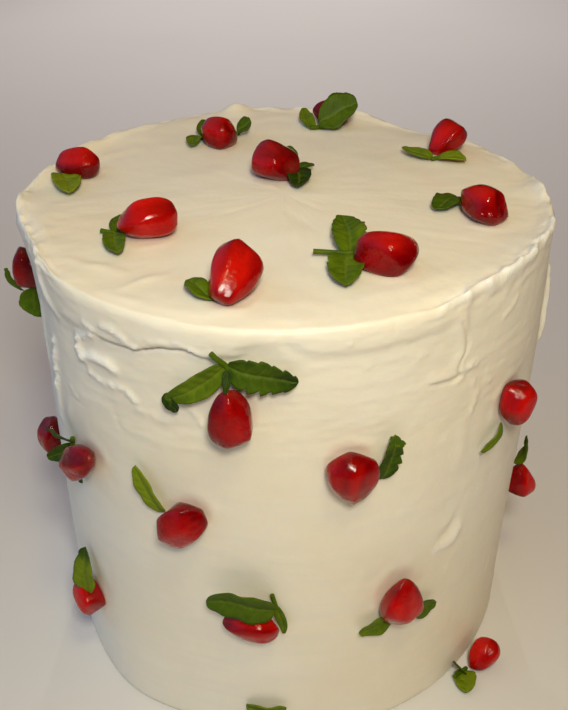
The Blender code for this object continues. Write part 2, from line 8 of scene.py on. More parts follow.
import bmesh
import bpy
import numpy as np
from mathutils import Matrix, Vector
from mathutils.bvhtree import BVHTree


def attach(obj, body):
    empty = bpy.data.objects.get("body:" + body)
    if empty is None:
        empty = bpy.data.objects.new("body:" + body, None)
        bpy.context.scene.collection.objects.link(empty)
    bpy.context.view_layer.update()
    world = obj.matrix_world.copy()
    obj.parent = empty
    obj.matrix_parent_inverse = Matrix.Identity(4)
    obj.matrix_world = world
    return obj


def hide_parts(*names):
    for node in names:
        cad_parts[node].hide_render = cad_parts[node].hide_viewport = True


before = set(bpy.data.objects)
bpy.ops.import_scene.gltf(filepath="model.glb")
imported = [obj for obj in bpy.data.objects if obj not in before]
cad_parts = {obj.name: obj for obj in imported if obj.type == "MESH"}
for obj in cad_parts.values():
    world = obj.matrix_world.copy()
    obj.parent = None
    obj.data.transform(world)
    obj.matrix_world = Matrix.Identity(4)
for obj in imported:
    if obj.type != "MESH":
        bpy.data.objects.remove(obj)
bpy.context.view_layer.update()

mm = 0.001


# Node trees: sums on a Wire add Math nodes, and every other node comes from Graph.add

class Wire:
    def __init__(self, graph, socket):
        self.graph = graph
        self.socket = socket

    def maths(self, operation, first, second):
        return self.graph.add("ShaderNodeMath", {"operation": operation}, {0: first, 1: second})

    def __add__(self, other):
        return self.maths("ADD", self, other)

    def __radd__(self, other):
        return self.maths("ADD", other, self)

    def __sub__(self, other):
        return self.maths("SUBTRACT", self, other)

    def __rsub__(self, other):
        return self.maths("SUBTRACT", other, self)

    def __mul__(self, other):
        return self.maths("MULTIPLY", self, other)

    def __rmul__(self, other):
        return self.maths("MULTIPLY", other, self)

    def __gt__(self, other):
        return self.maths("GREATER_THAN", self, other)


class Graph:
    def __init__(self, tree):
        self.tree = tree

    def add(self, kind, settings=None, sockets=None, output=0):
        node = self.tree.nodes.new(kind)
        for name, value in (settings or {}).items():
            if name == "stops":
                self.setStops(node.color_ramp, value)
            else:
                setattr(node, name, value)
        for name, value in (sockets or {}).items():
            self.feed(node.inputs[name], value)
        return Wire(self, node.outputs[output] if node.outputs else None)

    def setStops(self, ramp, stops):
        while len(ramp.elements) < len(stops):
            ramp.elements.new(1.0)
        for element, (place, grey) in zip(ramp.elements, stops):
            element.position = place
            element.color = (grey, grey, grey, 1.0)

    def feed(self, socket, value):
        if isinstance(value, list):
            for each in value:
                self.feed(socket, each)
        elif isinstance(value, Wire):
            self.tree.links.new(value.socket, socket)
        else:
            socket.default_value = value

    def noise(self, vector, scale, detail=2.0, roughness=0.5):
        sockets = {"Vector": vector, "Scale": scale, "Detail": detail, "Roughness": roughness}
        return self.add("ShaderNodeTexNoise", {}, sockets)

    def ramp(self, value, stops):
        return self.add("ShaderNodeValToRGB", {"stops": stops}, {0: value})

    def mixColour(self, factor, first, second, blend="MIX"):
        settings = {"data_type": "RGBA", "blend_type": blend}
        return self.add("ShaderNodeMix", settings, {0: factor, 6: first, 7: second}, output=2)

    def attribute(self, name):
        return self.add("ShaderNodeAttribute", {"attribute_name": name}, {}, output="Fac")

    def stretched(self, vector, scale):
        return self.add("ShaderNodeVectorMath", {"operation": "MULTIPLY"}, {0: vector, 1: scale})

    def pushedOut(self, distance):
        normal = self.add("GeometryNodeInputNormal")
        return self.add("ShaderNodeVectorMath", {"operation": "SCALE"}, {"Vector": normal, "Scale": distance})


def rgb(red, green, blue):
    return (red, green, blue, 1.0)


def newFinish(name, fixed):
    # A Principled finish: the values in fixed are the same all over and sit on the shader's own sockets
    finish = bpy.data.materials.new(name)
    finish.use_nodes = True
    graph = Graph(finish.node_tree)
    shader = finish.node_tree.nodes["Principled BSDF"]
    for socket, value in fixed.items():
        shader.inputs[socket].default_value = value
    objectPoint = graph.add("ShaderNodeTexCoord", {}, {}, output="Object")
    return finish, graph, shader, objectPoint


def addRelief(graph, shader, relief, strength, distance):
    bump = graph.add("ShaderNodeBump", {}, {"Strength": strength, "Distance": distance, "Height": relief})
    graph.feed(shader.inputs["Normal"], bump)


# Finishes

frostingColours = {
    "cream": rgb(0.88, 0.83, 0.70),
    "butter": rgb(0.84, 0.76, 0.59),
    "shade": rgb(0.76, 0.74, 0.65),
    "juice": rgb(0.80, 0.36, 0.33),
    # Torn clumps and the rim rope: whiter cream, a painted highlight
    "torn": rgb(0.95, 0.93, 0.87),
    "juiceStrength": 0.12,
    "grain": 900.0,
}


def makeFrostingFinish():
    finish, graph, shader, place = newFinish("creamFrosting", {
        "Subsurface Weight": 0.35,
        "Subsurface Radius": (1.0, 0.72, 0.45),
        "Subsurface Scale": 0.003,
        "IOR": 1.45,
    })
    colours = frostingColours
    patches = graph.ramp(graph.noise(place, 24.0, 3.0), [(0.35, 0.0), (0.70, 1.0)])
    streaks = graph.noise(graph.stretched(place, (60.0, 60.0, 420.0)), 1.0, 3.0)
    tone = graph.mixColour(patches, colours["cream"], colours["butter"])
    tone = graph.mixColour((streaks - 0.45) * 0.9, tone, colours["shade"])
    blush = graph.attribute("juice") * (0.6 + graph.noise(place, 420.0) * 0.8) * colours["juiceStrength"]
    tone = graph.mixColour(blush, tone, colours["juice"])
    # Painted highlight: raised torn clumps and the rim rope are whitened; the same mask also roughens the
    # bump
    torn = graph.attribute("torn")
    tone = graph.mixColour(torn * 0.7, tone, colours["torn"])
    graph.feed(shader.inputs["Base Color"], tone)
    graph.feed(shader.inputs["Roughness"], 0.34 + graph.noise(place, 160.0, 3.0) * 0.22)
    relief = graph.noise(place, colours["grain"], 4.0, 0.6) * 0.5 + streaks * 0.8
    relief = relief + torn * graph.noise(place, 1300.0, 3.0, 0.6) * 3.0
    addRelief(graph, shader, relief, 0.35, 0.00022)
    return finish


arilColours = {
    "deep": rgb(0.055, 0.000, 0.000),
    "ripe": rgb(0.170, 0.000, 0.001),
    "bright": rgb(0.520, 0.005, 0.002),
    "rose": rgb(0.640, 0.110, 0.100),
    "pale": rgb(0.700, 0.200, 0.120),
}


def makeArilFinish():
    # Painted glow: the colour runs from dark crimson at the sides and ends to a bright core and upper side,
    # standing for light through the aril; the skin is wet and finely wrinkled
    finish, graph, shader, place = newFinish("pomegranateAril", {
        "Subsurface Weight": 0.35,
        "Subsurface Radius": (1.0, 0.05, 0.03),
        "Subsurface Scale": 0.0025,
        "Specular IOR Level": 0.30,
        "Coat Roughness": 0.05,
        "Coat IOR": 1.38,
        "IOR": 1.40,
    })
    colours = arilColours
    inner = graph.add("ShaderNodeAttribute", {"attribute_name": "inner"}, {}, output="Vector")
    flesh = graph.noise(inner, 300.0, 2.0)
    fibres = graph.noise(place, 1500.0, 3.0, 0.6)
    # Painted glow, mixed with random flesh and tone, lifts the colour from deep to bright
    glow = graph.attribute("glow") * 0.75 + (flesh - 0.5) * 0.75 + graph.attribute("tone") * 0.38
    tone = graph.mixColour(graph.ramp(glow, [(0.05, 0.0), (0.45, 1.0)]), colours["deep"], colours["ripe"])
    tone = graph.mixColour(graph.ramp(glow, [(0.45, 0.0), (0.95, 1.0)]), tone, colours["bright"])
    tone = graph.mixColour(graph.attribute("low") * 0.06, tone, colours["rose"])
    tone = graph.mixColour(graph.attribute("tip") * (0.02 + fibres * 0.1), tone, colours["pale"])
    graph.feed(shader.inputs["Base Color"], tone)
    graph.feed(shader.inputs["Roughness"], 0.03 + fibres * 0.10)
    graph.feed(shader.inputs["Coat Weight"], flesh * 0.2)
    wrinkled = graph.ramp(graph.noise(place, 260.0, 1.0), [(0.42, 0.15), (0.62, 1.0)])
    relief = graph.noise(place, 560.0, 2.0) * 1.1 + fibres * wrinkled * 0.9
    addRelief(graph, shader, relief, 0.55, 0.0004)
    return finish


leafColours = {
    "dark": rgb(0.014, 0.034, 0.001),
    "green": rgb(0.064, 0.112, 0.002),
    "lime": rgb(0.170, 0.225, 0.006),
    "vein": rgb(0.165, 0.225, 0.025),
}


def makeLeafFinish(name, veined):
    finish, graph, shader, place = newFinish(name, {
        "Subsurface Weight": 0.12,
        "Subsurface Radius": (0.5, 1.0, 0.2),
        "Subsurface Scale": 0.0008,
        "Specular IOR Level": 0.14,
        "IOR": 1.42,
    })
    colours = leafColours
    mottle = graph.noise(place, 500.0, 4.0)
    tone = graph.attribute("tone") + (mottle - 0.5) * 0.5
    lower = graph.ramp(tone, [(0.0, 0.0), (0.5, 1.0)])
    upper = graph.ramp(tone, [(0.5, 0.0), (1.0, 1.0)])
    colour = graph.mixColour(lower, colours["dark"], colours["green"])
    colour = graph.mixColour(upper, colour, colours["lime"])
    relief = mottle * 0.4
    if veined:
        vein = graph.attribute("vein")
        colour = graph.mixColour(vein * 0.35, colour, colours["vein"])
        relief = relief - vein * 0.7
    graph.feed(shader.inputs["Base Color"], colour)
    graph.feed(shader.inputs["Roughness"], 0.38 + mottle * 0.25)
    addRelief(graph, shader, relief, 0.6, 0.0003)
    return finish


floorColours = {"dim": rgb(0.66, 0.65, 0.64), "pale": rgb(0.72, 0.71, 0.70)}


def makeFloorFinish():
    finish, graph, shader, place = newFinish("paleFloor", {"IOR": 1.3})
    cloud = graph.noise(place, 4.0, 3.0)
    colour = graph.mixColour(cloud, floorColours["dim"], floorColours["pale"])
    graph.feed(shader.inputs["Base Color"], colour)
    graph.feed(shader.inputs["Roughness"], 0.6 + cloud * 0.2)
    return finish


# Shared shapes

def smoothStep(low, high, value):
    t = np.clip((value - low) / (high - low), 0.0, 1.0)
    return t * t * (3 - 2 * t)


def turnBetween(azimuth, centre):
    return (azimuth - centre + 180.0) % 360.0 - 180.0


def bell(value, spread):
    return np.exp(-(value / spread) ** 2)


def softNoise(u, v, seed, around=0):
    # Smooth noise of about -1 to 1 on a unit grid. With around, it repeats after that many units of u.
    u, v = np.broadcast_arrays(u, v)
    grid = np.random.RandomState(seed).uniform(-1, 1, (512, 512))
    cellU, cellV = np.floor(u).astype(int), np.floor(v).astype(int)
    fadeU, fadeV = smoothStep(0, 1, u - cellU), smoothStep(0, 1, v - cellV)
    period = around or 512
    left, right = cellU % period, (cellU + 1) % period
    low, high = cellV % 512, (cellV + 1) % 512
    under = grid[left, low] * (1 - fadeU) + grid[right, low] * fadeU
    over = grid[left, high] * (1 - fadeU) + grid[right, high] * fadeU
    return under * (1 - fadeV) + over * fadeV


def nearPath(px, py, path):
    # Distance from points to a drawn line, and how far along the line its nearest point is, 0 to 1
    nearest = np.full(px.shape, 1e9)
    where = np.zeros(px.shape)
    for step, ((x0, y0), (x1, y1)) in enumerate(zip(path, path[1:])):
        dx, dy = x1 - x0, y1 - y0
        along = np.clip(((px - x0) * dx + (py - y0) * dy) / (dx * dx + dy * dy), 0.0, 1.0)
        distance = np.hypot(px - x0 - along * dx, py - y0 - along * dy)
        closer = distance < nearest
        nearest = np.where(closer, distance, nearest)
        where = np.where(closer, (step + along) / (len(path) - 1), where)
    return nearest, where


# The garnishes. A place is x, y on the top, azimuth and height on the wall, and azimuth and distance from the
# wall at the foot. Leaves and stems are drawn from the middle of their aril, along and up the frosting.
Aril = namedtuple("Aril", "length width height heading taper lean tone", defaults=(0.0, 0.5))
Leaf = namedtuple("Leaf", "start end width rise bend roll tone tip teeth",
                  defaults=((0.0, 0.8, 0.6), 0.0, 0.0, 0.45, 0.0, 0.5))
Stem = namedtuple("Stem", "start end rise", defaults=((0.1, 0.4),))
Garnish = namedtuple("Garnish", "seat place aril leaves")

topGarnishes = (
    Garnish("top", (-47.7, 13.3), Aril(10.4, 8.2, 7.8, 176, 0.30, 0, 0.6),
            (Leaf((-4, -2.4), (0.3, -14.4), 7, (0.2, 1, 0.5), 12, 0, 1, 0, 1.2),)),
    Garnish("top", (-15.6, 30.8), Aril(9, 8.6, 8.4, 150, 0.16, 0, 0.6),
            (Stem((-5.4, 2.8), (4.6, 5.2)),
             Leaf((-4.8, 3.4), (-7, -3.4), 4.4, (0.2, 1, 0.5), -20, 0, 0.60),
             Leaf((-4.1, 3.1), (-4.5, 8.8), 4, (0.3, 1.6, 2.4), 10, 0, 0.35),
             Leaf((4, 5), (7.6, 6.2), 4.6, (0.3, 1.4, 2.6), 0, 24, 0.36))),
    Garnish("top", (12.7, 47), Aril(9.6, 7.8, 7.4, 175, 0.25, 0, 0.2),
            (Stem((-2.2, -5.6), (-5.6, -6.6)),
             Leaf((-3.4, -6.2), (6.8, -3.4), 8.8, (0.3, 0.7, 5), 0, 48, 0.40, 0, 0.3),
             Leaf((-5, -6.4), (-7, 1.6), 4, (0.2, 1.2, 2.2), 14, 0, 0.7))),
    Garnish("top", (39.6, 24.2), Aril(10.8, 7.2, 7.4, 216, 0.46, 28, 0.5),
            (Stem((-4.4, -6.6), (-2.2, -6.2)),
             Leaf((-4.2, -6.5), (-10.6, -0.6), 4.2, (0.2, 0.9, 0.6), 16, 0, 0.75),
             Leaf((-2.6, -6.2), (3.6, -8.6), 5, (0.2, 0.9, 0.3), 12, 0, 0.9))),
    Garnish("top", (41.5, -13.4), Aril(11.6, 8.4, 8.2, 116, 0.28, 0, 0.4),
            (Leaf((-3.6, 9.2), (-9.6, 1.4), 6.4, (0.2, 0.9, 0.5), 8, 0, 0.3),)),
    Garnish("top", (-2, 8.8), Aril(11.8, 9.8, 9, 318, 0.22, 0, 0.3),
            (Stem((4.2, 2.6), (5, -0.2)),
             Leaf((4.4, 1.2), (5.2, -8.8), 6.2, (0.2, 1.3, 0.4), 16, 0, 0),
             Leaf((4.6, 0.8), (9.2, 2.6), 3, (0.2, 1.2, 0.8), 6, 0, 0.25),
             Leaf((4.2, 2.2), (3.4, 9.4), 3.4, (0.2, 1.6, 3), -10, 0, 0.4))),
    Garnish("top", (-28, -20), Aril(12.2, 9.8, 9.2, 204, 0.34, 0, 1.4),
            (Stem((-6.2, -0.9), (-9.4, 0)),
             Leaf((-6.3, -0.7), (-5.6, 6.6), 3.4, (0.2, 0.8, 0.5), 12, 0, 0.40),
             Leaf((-6.3, -1), (-4.4, -10.4), 5, (0.2, 0.9, 0.4), -10, 0, 0.58))),
    Garnish("top", (-9.3, -44.9), Aril(12.8, 9.5, 9, 252, 0.38, 18, 0.8),
            (Leaf((-3.6, -3.2), (-8.4, 3), 5, (0.2, 1, 0.6), 14, 0, 0.56),)),
    Garnish("top", (19.4, -35.9), Aril(11.9, 8.6, 8.4, 154, 0.20, 0, 0.5),
            (Stem((-4.8, 4.4), (-13.8, 5.1), (0.3, 0.8)),
             Leaf((-6.6, 4.6), (-7.4, 19.4), 7.6, (0.3, 1.4, 1.2), -8, 0, 0.57, -0.1, 1.6),
             Leaf((-7, 4.2), (-8.2, -8.8), 7.8, (0.3, 1.1, 0.4), -6, 0, 0.56, 0, 1.2))),
)

wallGarnishes = (
    Garnish("wall", (-89.6, 94.4), Aril(10.8, 7.8, 7.8, 80, 0.26, 0, 0),
            (Stem((-1.6, -6.2), (1, -6), (1, 1.2)),
             Leaf((1.2, -4.4), (1.8, -12.4), 5.2, (0.2, 0.5, 0.4), -6, 74, 0.45),
             Leaf((0.8, -5.6), (1, 0.6), 1.8, (4.2, 6.2, 6.8), 0, 74, 0.35))),
    Garnish("wall", (-9.6, 94.4), Aril(12.4, 8.1, 7.4, 90, 0.28, 0, 0.5),
            (Stem((-0.4, 9.2), (-3, 13), (0.3, 0.9)),
             Leaf((-0.5, 9.9), (11.8, 7.4), 7.4, (0.4, 1.5, 0.8), 0, 0, 0.34, -0.25, 2.6),
             Leaf((-1, 9.9), (-12.2, 1.4), 5, (0.4, 1.3, 1.4), 14, 0, 0.66, -0.2, 0.2),
             Leaf((-12.4, 2.2), (-10.4, -1.4), 3, (1.2, 1.6, 1), 10, 0, 0, 0, 0.4),
             Leaf((-0.5, 9.4), (-0.3, 6.4), 1.8, (0.3, 1.6, 3.4), 0, 0, 0, 0, 0))),
    Garnish("wall", (11.8, 80), Aril(11.6, 9.8, 7.8, 276, 0.46, 0, 0.65),
            (Leaf((6.2, -3.4), (7.8, 8), 4.6, (0.2, 1.4, 1.8), -14, 0, 0.24, 0.3, 2.6),
             Leaf((7.4, 6.8), (10, 5.2), 1.8, (1.2, 1.8, 1.6), -20, 0, 0.55, 0, 0.6))),
    Garnish("wall", (51.6, 81.2), Aril(9.8, 8.8, 7.4, 240, 0.26, 0, 0.5),
            (Leaf((-1.8, -5.2), (-9.2, -8.2), 3, (0.2, 1.2, 0.6), 2, 0, 0.68),)),
    Garnish("wall", (-20.9, 65.8), Aril(12.8, 8.4, 7.4, 225, 0.22, 0, 0.5),
            (Leaf((-4.6, 0), (-9.7, 10.8), 4.4, (0.2, 1.2, 0.8), 10, 0, 1),)),
    Garnish("wall", (-82, 51.2), Aril(9.6, 8, 7.2, 92, 0.20, 0, 0.2),
            (Leaf((-1, -5.2), (-5.8, -12), 4.8, (0.2, 1, 0.6), 10, 0, 0.3),)),
    Garnish("wall", (-46.4, 70), Aril(12, 7.4, 7.2, 34, 0.28, 0, 0.35),
            (Stem((-6.2, 1.4), (-6.9, -3.2)),
             Leaf((-6.1, 0.4), (-8.2, 5), 4.8, (0.2, 2.8, 4.4), -8, 0, 0.1),
             Leaf((-6.2, -0.8), (-11, -5), 3.6, (0.2, 2.6, 4.6), 10, 0, 0.15),
             Leaf((-6.6, -2.4), (-4, -9.6), 3.4, (0.1, 0.9, 0.4), 20, 0, 0.25))),
    Garnish("wall", (-53.6, 23.8), Aril(9.4, 8.8, 7.2, 142, 0.28, 0, 0.9),
            (Leaf((2.4, 3.2), (-1, 14), 6.8, (2.4, 1, 0.5), 0, 20, 0.85, -0.7),)),
    Garnish("wall", (-7.8, 39.6), Aril(12.2, 6.6, 6.6, 178, 0.20, 0, 0.7),
            (Stem((4.4, 7.8), (5.3, 4.2)),
             Leaf((5, 4.4), (-8.8, 6.2), 8.4, (1.2, 3.8, 2), -40, 0, 0.44, 0, 0.1),
             Leaf((5, 5), (6.8, -3), 2.2, (0.3, 1, 0.5), 14, 0, 0.6))),
    Garnish("wall", (23.5, 42.3), Aril(13.2, 9.6, 7.6, 84, 0.44, 0, 0.5),
            (Stem((-1, -6.6), (3.6, -7.4)),
             Leaf((-0.7, -6.7), (-8.6, -8.8), 5.2, (0.2, 1.1, 0.5), -14, 0, 0.66),
             Leaf((3, -7.4), (10.4, -8.2), 5, (0.2, 1.3, 0.8), 18, 0, 0.5))),
    Garnish("foot", (51.4, 5), Aril(9, 6.6, 6.4, 192, 0.34, 34, 1.1),
            (Stem((-4, -2.4), (-9.6, -2.8), (0.2, 2.4)),
             Leaf((-4.8, -2.2), (-11, 1.2), 6, (0.2, 1.1, 0.5), 6, 0, 0.88),
             Leaf((-5.2, -2.4), (-8.6, -3.6), 4.2, (0.2, 2.6, 5.2), 0, 0, 0.35))),
    Garnish("wall", (80.4, 36.6), Aril(9.8, 7.8, 8.4, 90, 0.46, 0, 0.9),
            (Leaf((0.4, 4.8), (0.4, 13.4), 5, (0.4, 2.4, 2), -6, 0, 0.55, -0.3),)),
    Garnish("wall", (96.6, 102), Aril(10, 7.4, 6.6, 80, 0.26, 0, 0.2),
            (Leaf((3.2, -4.4), (7.6, -11), 4.8, (0.2, 1, 0.6), 10, 0, 0.4),)),
    Garnish("wall", (-5.6, 4.6), Aril(9, 7.6, 6.4, 176, 0.24, 0, 0.5),
            (Leaf((-4.4, 5), (4.8, 6), 4.8, (0.2, 1.2, 0.4), -10, 0, 0.7),)),
)

backSide = {
    "heights": (14, 39, 65, 92), "columns": 3, "first": 112, "step": 50, "turn": 24, "scatter": 4,
    "sizes": (0.88, 1.08), "seed": 7,
    "aril": Aril(11.4, 8.4, 7.4, 0, 0.30), "leaf": Leaf((1.6, 0), (13.6, 0), 5.4, (1, 1.2, 0.6)),
}


def turned(piece, degrees):
    turn = Matrix.Rotation(math.radians(degrees), 2)
    return piece._replace(start=tuple(turn @ Vector(piece.start)), end=tuple(turn @ Vector(piece.end)))


def layOutBack():
    # Rows of garnishes on the wall that the front hides, each row turned by half a step against the next
    draw = random.Random(backSide["seed"])
    spread = []
    for row, rowHeight in enumerate(backSide["heights"]):
        for column in range(backSide["columns"]):
            azimuth = backSide["first"] + backSide["step"] * column + backSide["turn"] * (row % 2)
            azimuth += draw.uniform(-1, 1) * backSide["scatter"]
            height = rowHeight + draw.uniform(-1, 1) * backSide["scatter"]
            size = draw.uniform(*backSide["sizes"])
            heading = draw.uniform(0, 360)
            leaf = turned(backSide["leaf"], draw.uniform(0, 360))
            aril = backSide["aril"]
            aril = aril._replace(length=aril.length * size, width=aril.width * size, heading=heading)
            mood = (row * 3 + column) % 4 / 4
            spread.append(Garnish("wall", (azimuth, height), aril._replace(tone=mood),
                                  (leaf._replace(tone=0.2 + 0.5 * mood),)))
    return tuple(spread)


garnishes = topGarnishes + wallGarnishes + layOutBack()


# Frosting

cake = {
    "diameter": 115, "height": 112, "footRounding": 1.2, "lipWidth": 3.2, "bandStep": 0.8,
    "frontColumn": 0.52, "backColumn": 1.35, "frontSpan": 96,
    "lowerRow": 1.35, "upperRow": 0.5, "upperFrom": 82, "topRow": (0.6, 2.2),
    "streaks": 0.10, "lumps": 0.15, "rimLumps": 0.26, "pressRise": 0.26, "pressWidth": 1.4, "juiceWidth": 0.7,
    "rope": 1.9, "wallTop": 109.4, "lipShare": 0.36, "lipRows": 12, "lipClimb": 3.4, "rowGrowth": 1.06,
    "crown": 2.4, "crownShare": 0.02, "waves": 0.25, "flap": 0.45,
    "topSwell": ((0.28, 0.075, 0.045, 0.6), (0.22, 0.04, -0.11, 2)), "wallPress": 1, "topPress": 0.8,
}
radius = cake["diameter"] / 2
degreeLength = math.radians(1) * radius

Swell = namedtuple("Swell", "azimuth height push across tall")
swells = (
    Swell(74, 82, 1.3, 26, 40), Swell(-74, 90, -1.5, 20, 30), Swell(-87, 112, 2.4, 12, 8),
    Swell(-40, 0, 2, 14, 26), Swell(140, 112, -2.4, 16, 30), Swell(-160, 60, 0.9, 30, 35),
    Swell(178, 20, -0.8, 30, 30), Swell(20, 60, 0.5, 25, 30),
)
Bump = namedtuple("Bump", "azimuth rise across")
lipBumps = (
    Bump(46, 1.2, 9), Bump(62, 1.3, 10), Bump(78, 1, 9), Bump(90, 1.8, 5), Bump(112, -0.4, 9),
    Bump(141, -1.2, 10), Bump(160, 0.8, 8), Bump(180, 0.7, 8), Bump(193, 2.3, 4), Bump(208, 0.4, 9),
    Bump(226, 1.3, 8), Bump(242, 1.6, 9), Bump(258, 1.2, 8), Bump(274, 1.3, 7), Bump(0, -0.5, 45),
)
bandEdge = (
    (-64, 103), (-46, 103.4), (-43, 103.6), (-36, 103.8), (-30, 103.7), (-28, 103.9), (-25, 104.9),
    (-22, 105.6), (-17.5, 106.1), (-15, 105), (-12, 105.4), (-6, 108.4), (0, 109.4), (3, 107.6),
    (6, 106.5), (11, 106.1), (17, 106.3), (22, 106.6), (27, 107), (32, 107.4), (38, 110.5),
)

# Marks of the spatula: points as azimuth and height on the wall or x and y on the top, then width and rise
Mark = namedtuple("Mark", "path width rise")
wallMarks = (
    Mark(((-39.3, 103), (-43.8, 101.2), (-44.8, 99.4), (-44.8, 97.7), (-43, 96.4)), 0.95, 1.00),
    Mark(((-42.8, 97), (-39.5, 97.9), (-35.9, 98), (-34.5, 97.2)), 1.15, 0.95),
    Mark(((-42.4, 95.6), (-41.7, 93.4)), 0.7, 0.35),
    Mark(((-41.3, 93.2), (-38.4, 92.7), (-36.3, 93), (-33.9, 93.3), (-31.1, 92.7), (-29.9, 91.5)), 0.8, 0.60),
    Mark(((-29.2, 89.6), (-26, 89), (-22.4, 88.8)), 0.8, 0.35),
    Mark(((-56.6, 94), (-57.5, 87), (-58.9, 79.4), (-60, 72.3)), 1.1, 1.00),
    Mark(((-59.5, 111), (-57.8, 107.8), (-54.5, 104.7), (-51.2, 102.9)), 1.2, 0.60),
    Mark(((-51.2, 85.6), (-48.6, 84.4)), 1, 0.35), Mark(((-52.4, 79.6), (-54.8, 75.2)), 1.3, 0.35),
    Mark(((-66, 84), (-65.4, 92), (-64, 99)), 1.3, 0.50), Mark(((-36.3, 88.2), (-34.7, 83.1)), 0.7, -0.20),
    Mark(((-40.5, 105.7), (-38.2, 105)), 0.7, 0.55),
    Mark(((-35.4, 106.8), (-33, 106.8), (-30.2, 105.4)), 0.8, 0.60),
    Mark(((-29.4, 104.5), (-28, 104.3)), 0.6, 0.50), Mark(((-24.8, 106.7), (-21, 107)), 0.6, 0.30),
    Mark(((-19.8, 107.6), (-17.6, 106.8), (-15.6, 105.7)), 0.5, 0.50),
    Mark(((-9.6, 106.2), (-7, 106.6)), 0.6, 0.35),
    Mark(((-18.4, 93.2), (-17.2, 92.2), (-15.4, 89.4)), 0.6, 0.45),
    Mark(((36.6, 96), (39.2, 95.9)), 0.9, 0.50), Mark(((36, 94.6), (34.8, 93.2)), 0.7, 0.35),
    Mark(((38.9, 92.3), (40.4, 88.1), (39.2, 84)), 0.8, 0.35), Mark(((42.8, 91), (44.6, 89.2)), 0.6, 0.35),
    Mark(((37.6, 82), (37.2, 72)), 1.6, 0.22), Mark(((31, 79.3), (34.1, 82.3)), 0.5, 0.20),
    Mark(((50.4, 105.6), (48.4, 104), (46.6, 103.2)), 0.8, 0.40),
    Mark(((23.6, 103.2), (26.4, 101.8)), 0.7, 0.25), Mark(((24, 101.4), (27, 102.6)), 0.4, 0.18),
    Mark(((25.8, 94.4), (29, 93.6)), 0.5, 0.18), Mark(((14.4, 102.4), (15, 102.4)), 0.55, 0.35),
    Mark(((10.6, 108.2), (11.4, 108.2)), 0.6, 0.40), Mark(((74, 84), (77, 92), (78.6, 99)), 1.2, 1.5),
    Mark(((18.6, 110.6), (19.4, 109.4), (20.9, 110.8)), 0.45, -0.40),
    Mark(((33.5, 49.6), (36.6, 49.5), (39.6, 50.8), (40.5, 53)), 1, 0.60),
    Mark(((34.4, 52.4), (37, 53.4), (38.4, 55.6)), 1.3, -0.55), Mark(((34, 56.4), (37, 56.8)), 0.6, 0.25),
    Mark(((37.6, 41.5), (38.4, 41.5)), 0.6, 0.30), Mark(((58, 27.5), (59.2, 28.5)), 0.9, 0.40),
    Mark(((46.8, 18.3), (47.8, 18.6)), 0.6, 0.28), Mark(((-48, 34), (-46, 31)), 0.7, 0.18),
    Mark(((-44, 13), (-41, 10.6)), 1, 0.25), Mark(((120, 60), (117, 84), (121, 103)), 1.8, 0.7),
    Mark(((158, 88), (176, 93), (192, 91)), 1.6, 0.6), Mark(((208, 52), (213, 74)), 1.8, 0.6),
    Mark(((236, 98), (250, 92)), 1.6, 0.7), Mark(((146, 40), (166, 44), (183, 38)), 1.4, 0.40),
    Mark(((225, 30), (246, 34)), 1.4, 0.40), Mark(((150, 71), (156, 70)), 1.4, 0.35),
    Mark(((203, 30), (208, 28)), 1.4, 0.35),
)
crack = Mark(((-13.6, 104.7), (-15.4, 105.1), (-17, 105.9), (-18.6, 106), (-20.6, 105.6), (-23, 105.4),
              (-26, 104.3), (-28.2, 103.6), (-31, 103.5), (-35, 103.5)), 0.34, -0.75)
flapEdge = Mark(((34.4, 106.6), (35.7, 103.6), (36.6, 101.3), (36.2, 99.5), (34.9, 98), (34.5, 96.2),
                 (35.1, 94.5), (33.5, 94), (30.2, 94.6), (27.2, 95.4)), 0.30, -0.55)
topMarks = (
    Mark(((-51, 18.4), (-44, 24), (-37, 29.4)), 1.2, 0.22),
    Mark(((-42, -30.8), (-38.6, -33.2), (-35.4, -34), (-30.6, -36.6)), 1, 0.42),
    Mark(((-29.8, -42.4), (-26, -39), (-22.6, -37.6)), 1, 0.32),
    Mark(((-34, -44.5), (-27, -47.6)), 1.1, 0.22), Mark(((-14, -51), (-6, -51.6)), 1.2, 0.22),
    Mark(((-0.2, -8), (1.6, -12), (5.4, -16.2)), 0.7, -0.22),
    Mark(((-12, -9.8), (-4, -5.6), (2, -4.2)), 0.7, -0.15), Mark(((2.4, -4.4), (7, -8.4)), 0.5, -0.15),
    Mark(((3, -31.4), (8, -33)), 0.9, 0.20), Mark(((-12, 2), (4, -1.6), (20, -2)), 2.4, 0.12),
    Mark(((10, 24), (22, 18), (31, 8)), 2.6, 0.14), Mark(((-28, 6), (-14, 14), (-6, 26)), 2.6, 0.14),
    Mark(((12, -48), (24, -44), (34, -36)), 1.6, 0.20),
    Mark(((-50, -6), (-50.6, -16), (-47, -25)), 1.8, 0.35), Mark(((-20, 44), (0, 50), (16, 40)), 2.2, 0.18),
)


def bandProud(azimuth, height):
    # The top frosting dragged down over the front edge stands out by a step, sharp only along the crack
    edges = np.array(bandEdge)
    around = turnBetween(azimuth, 0.0)
    edge = np.interp(around, edges[:, 0], edges[:, 1])
    inside = smoothStep(-64, -44, around) * (1 - smoothStep(31, 38, around))
    sharp = smoothStep(-41, -35, around) * (1 - smoothStep(-15, -12, around))
    soft = 2.6 - 2.35 * sharp
    wobble = 0.25 * softNoise(around / 1.4, 0.5, 11)
    step = cake["bandStep"] * inside * (1 - 0.4 * smoothStep(-12, -2, around))
    return step * smoothStep(edge - 0.6 * soft, edge + 0.5 * soft, height + wobble)


def onWall(path):
    return [(azimuth * degreeLength, height) for azimuth, height in path]


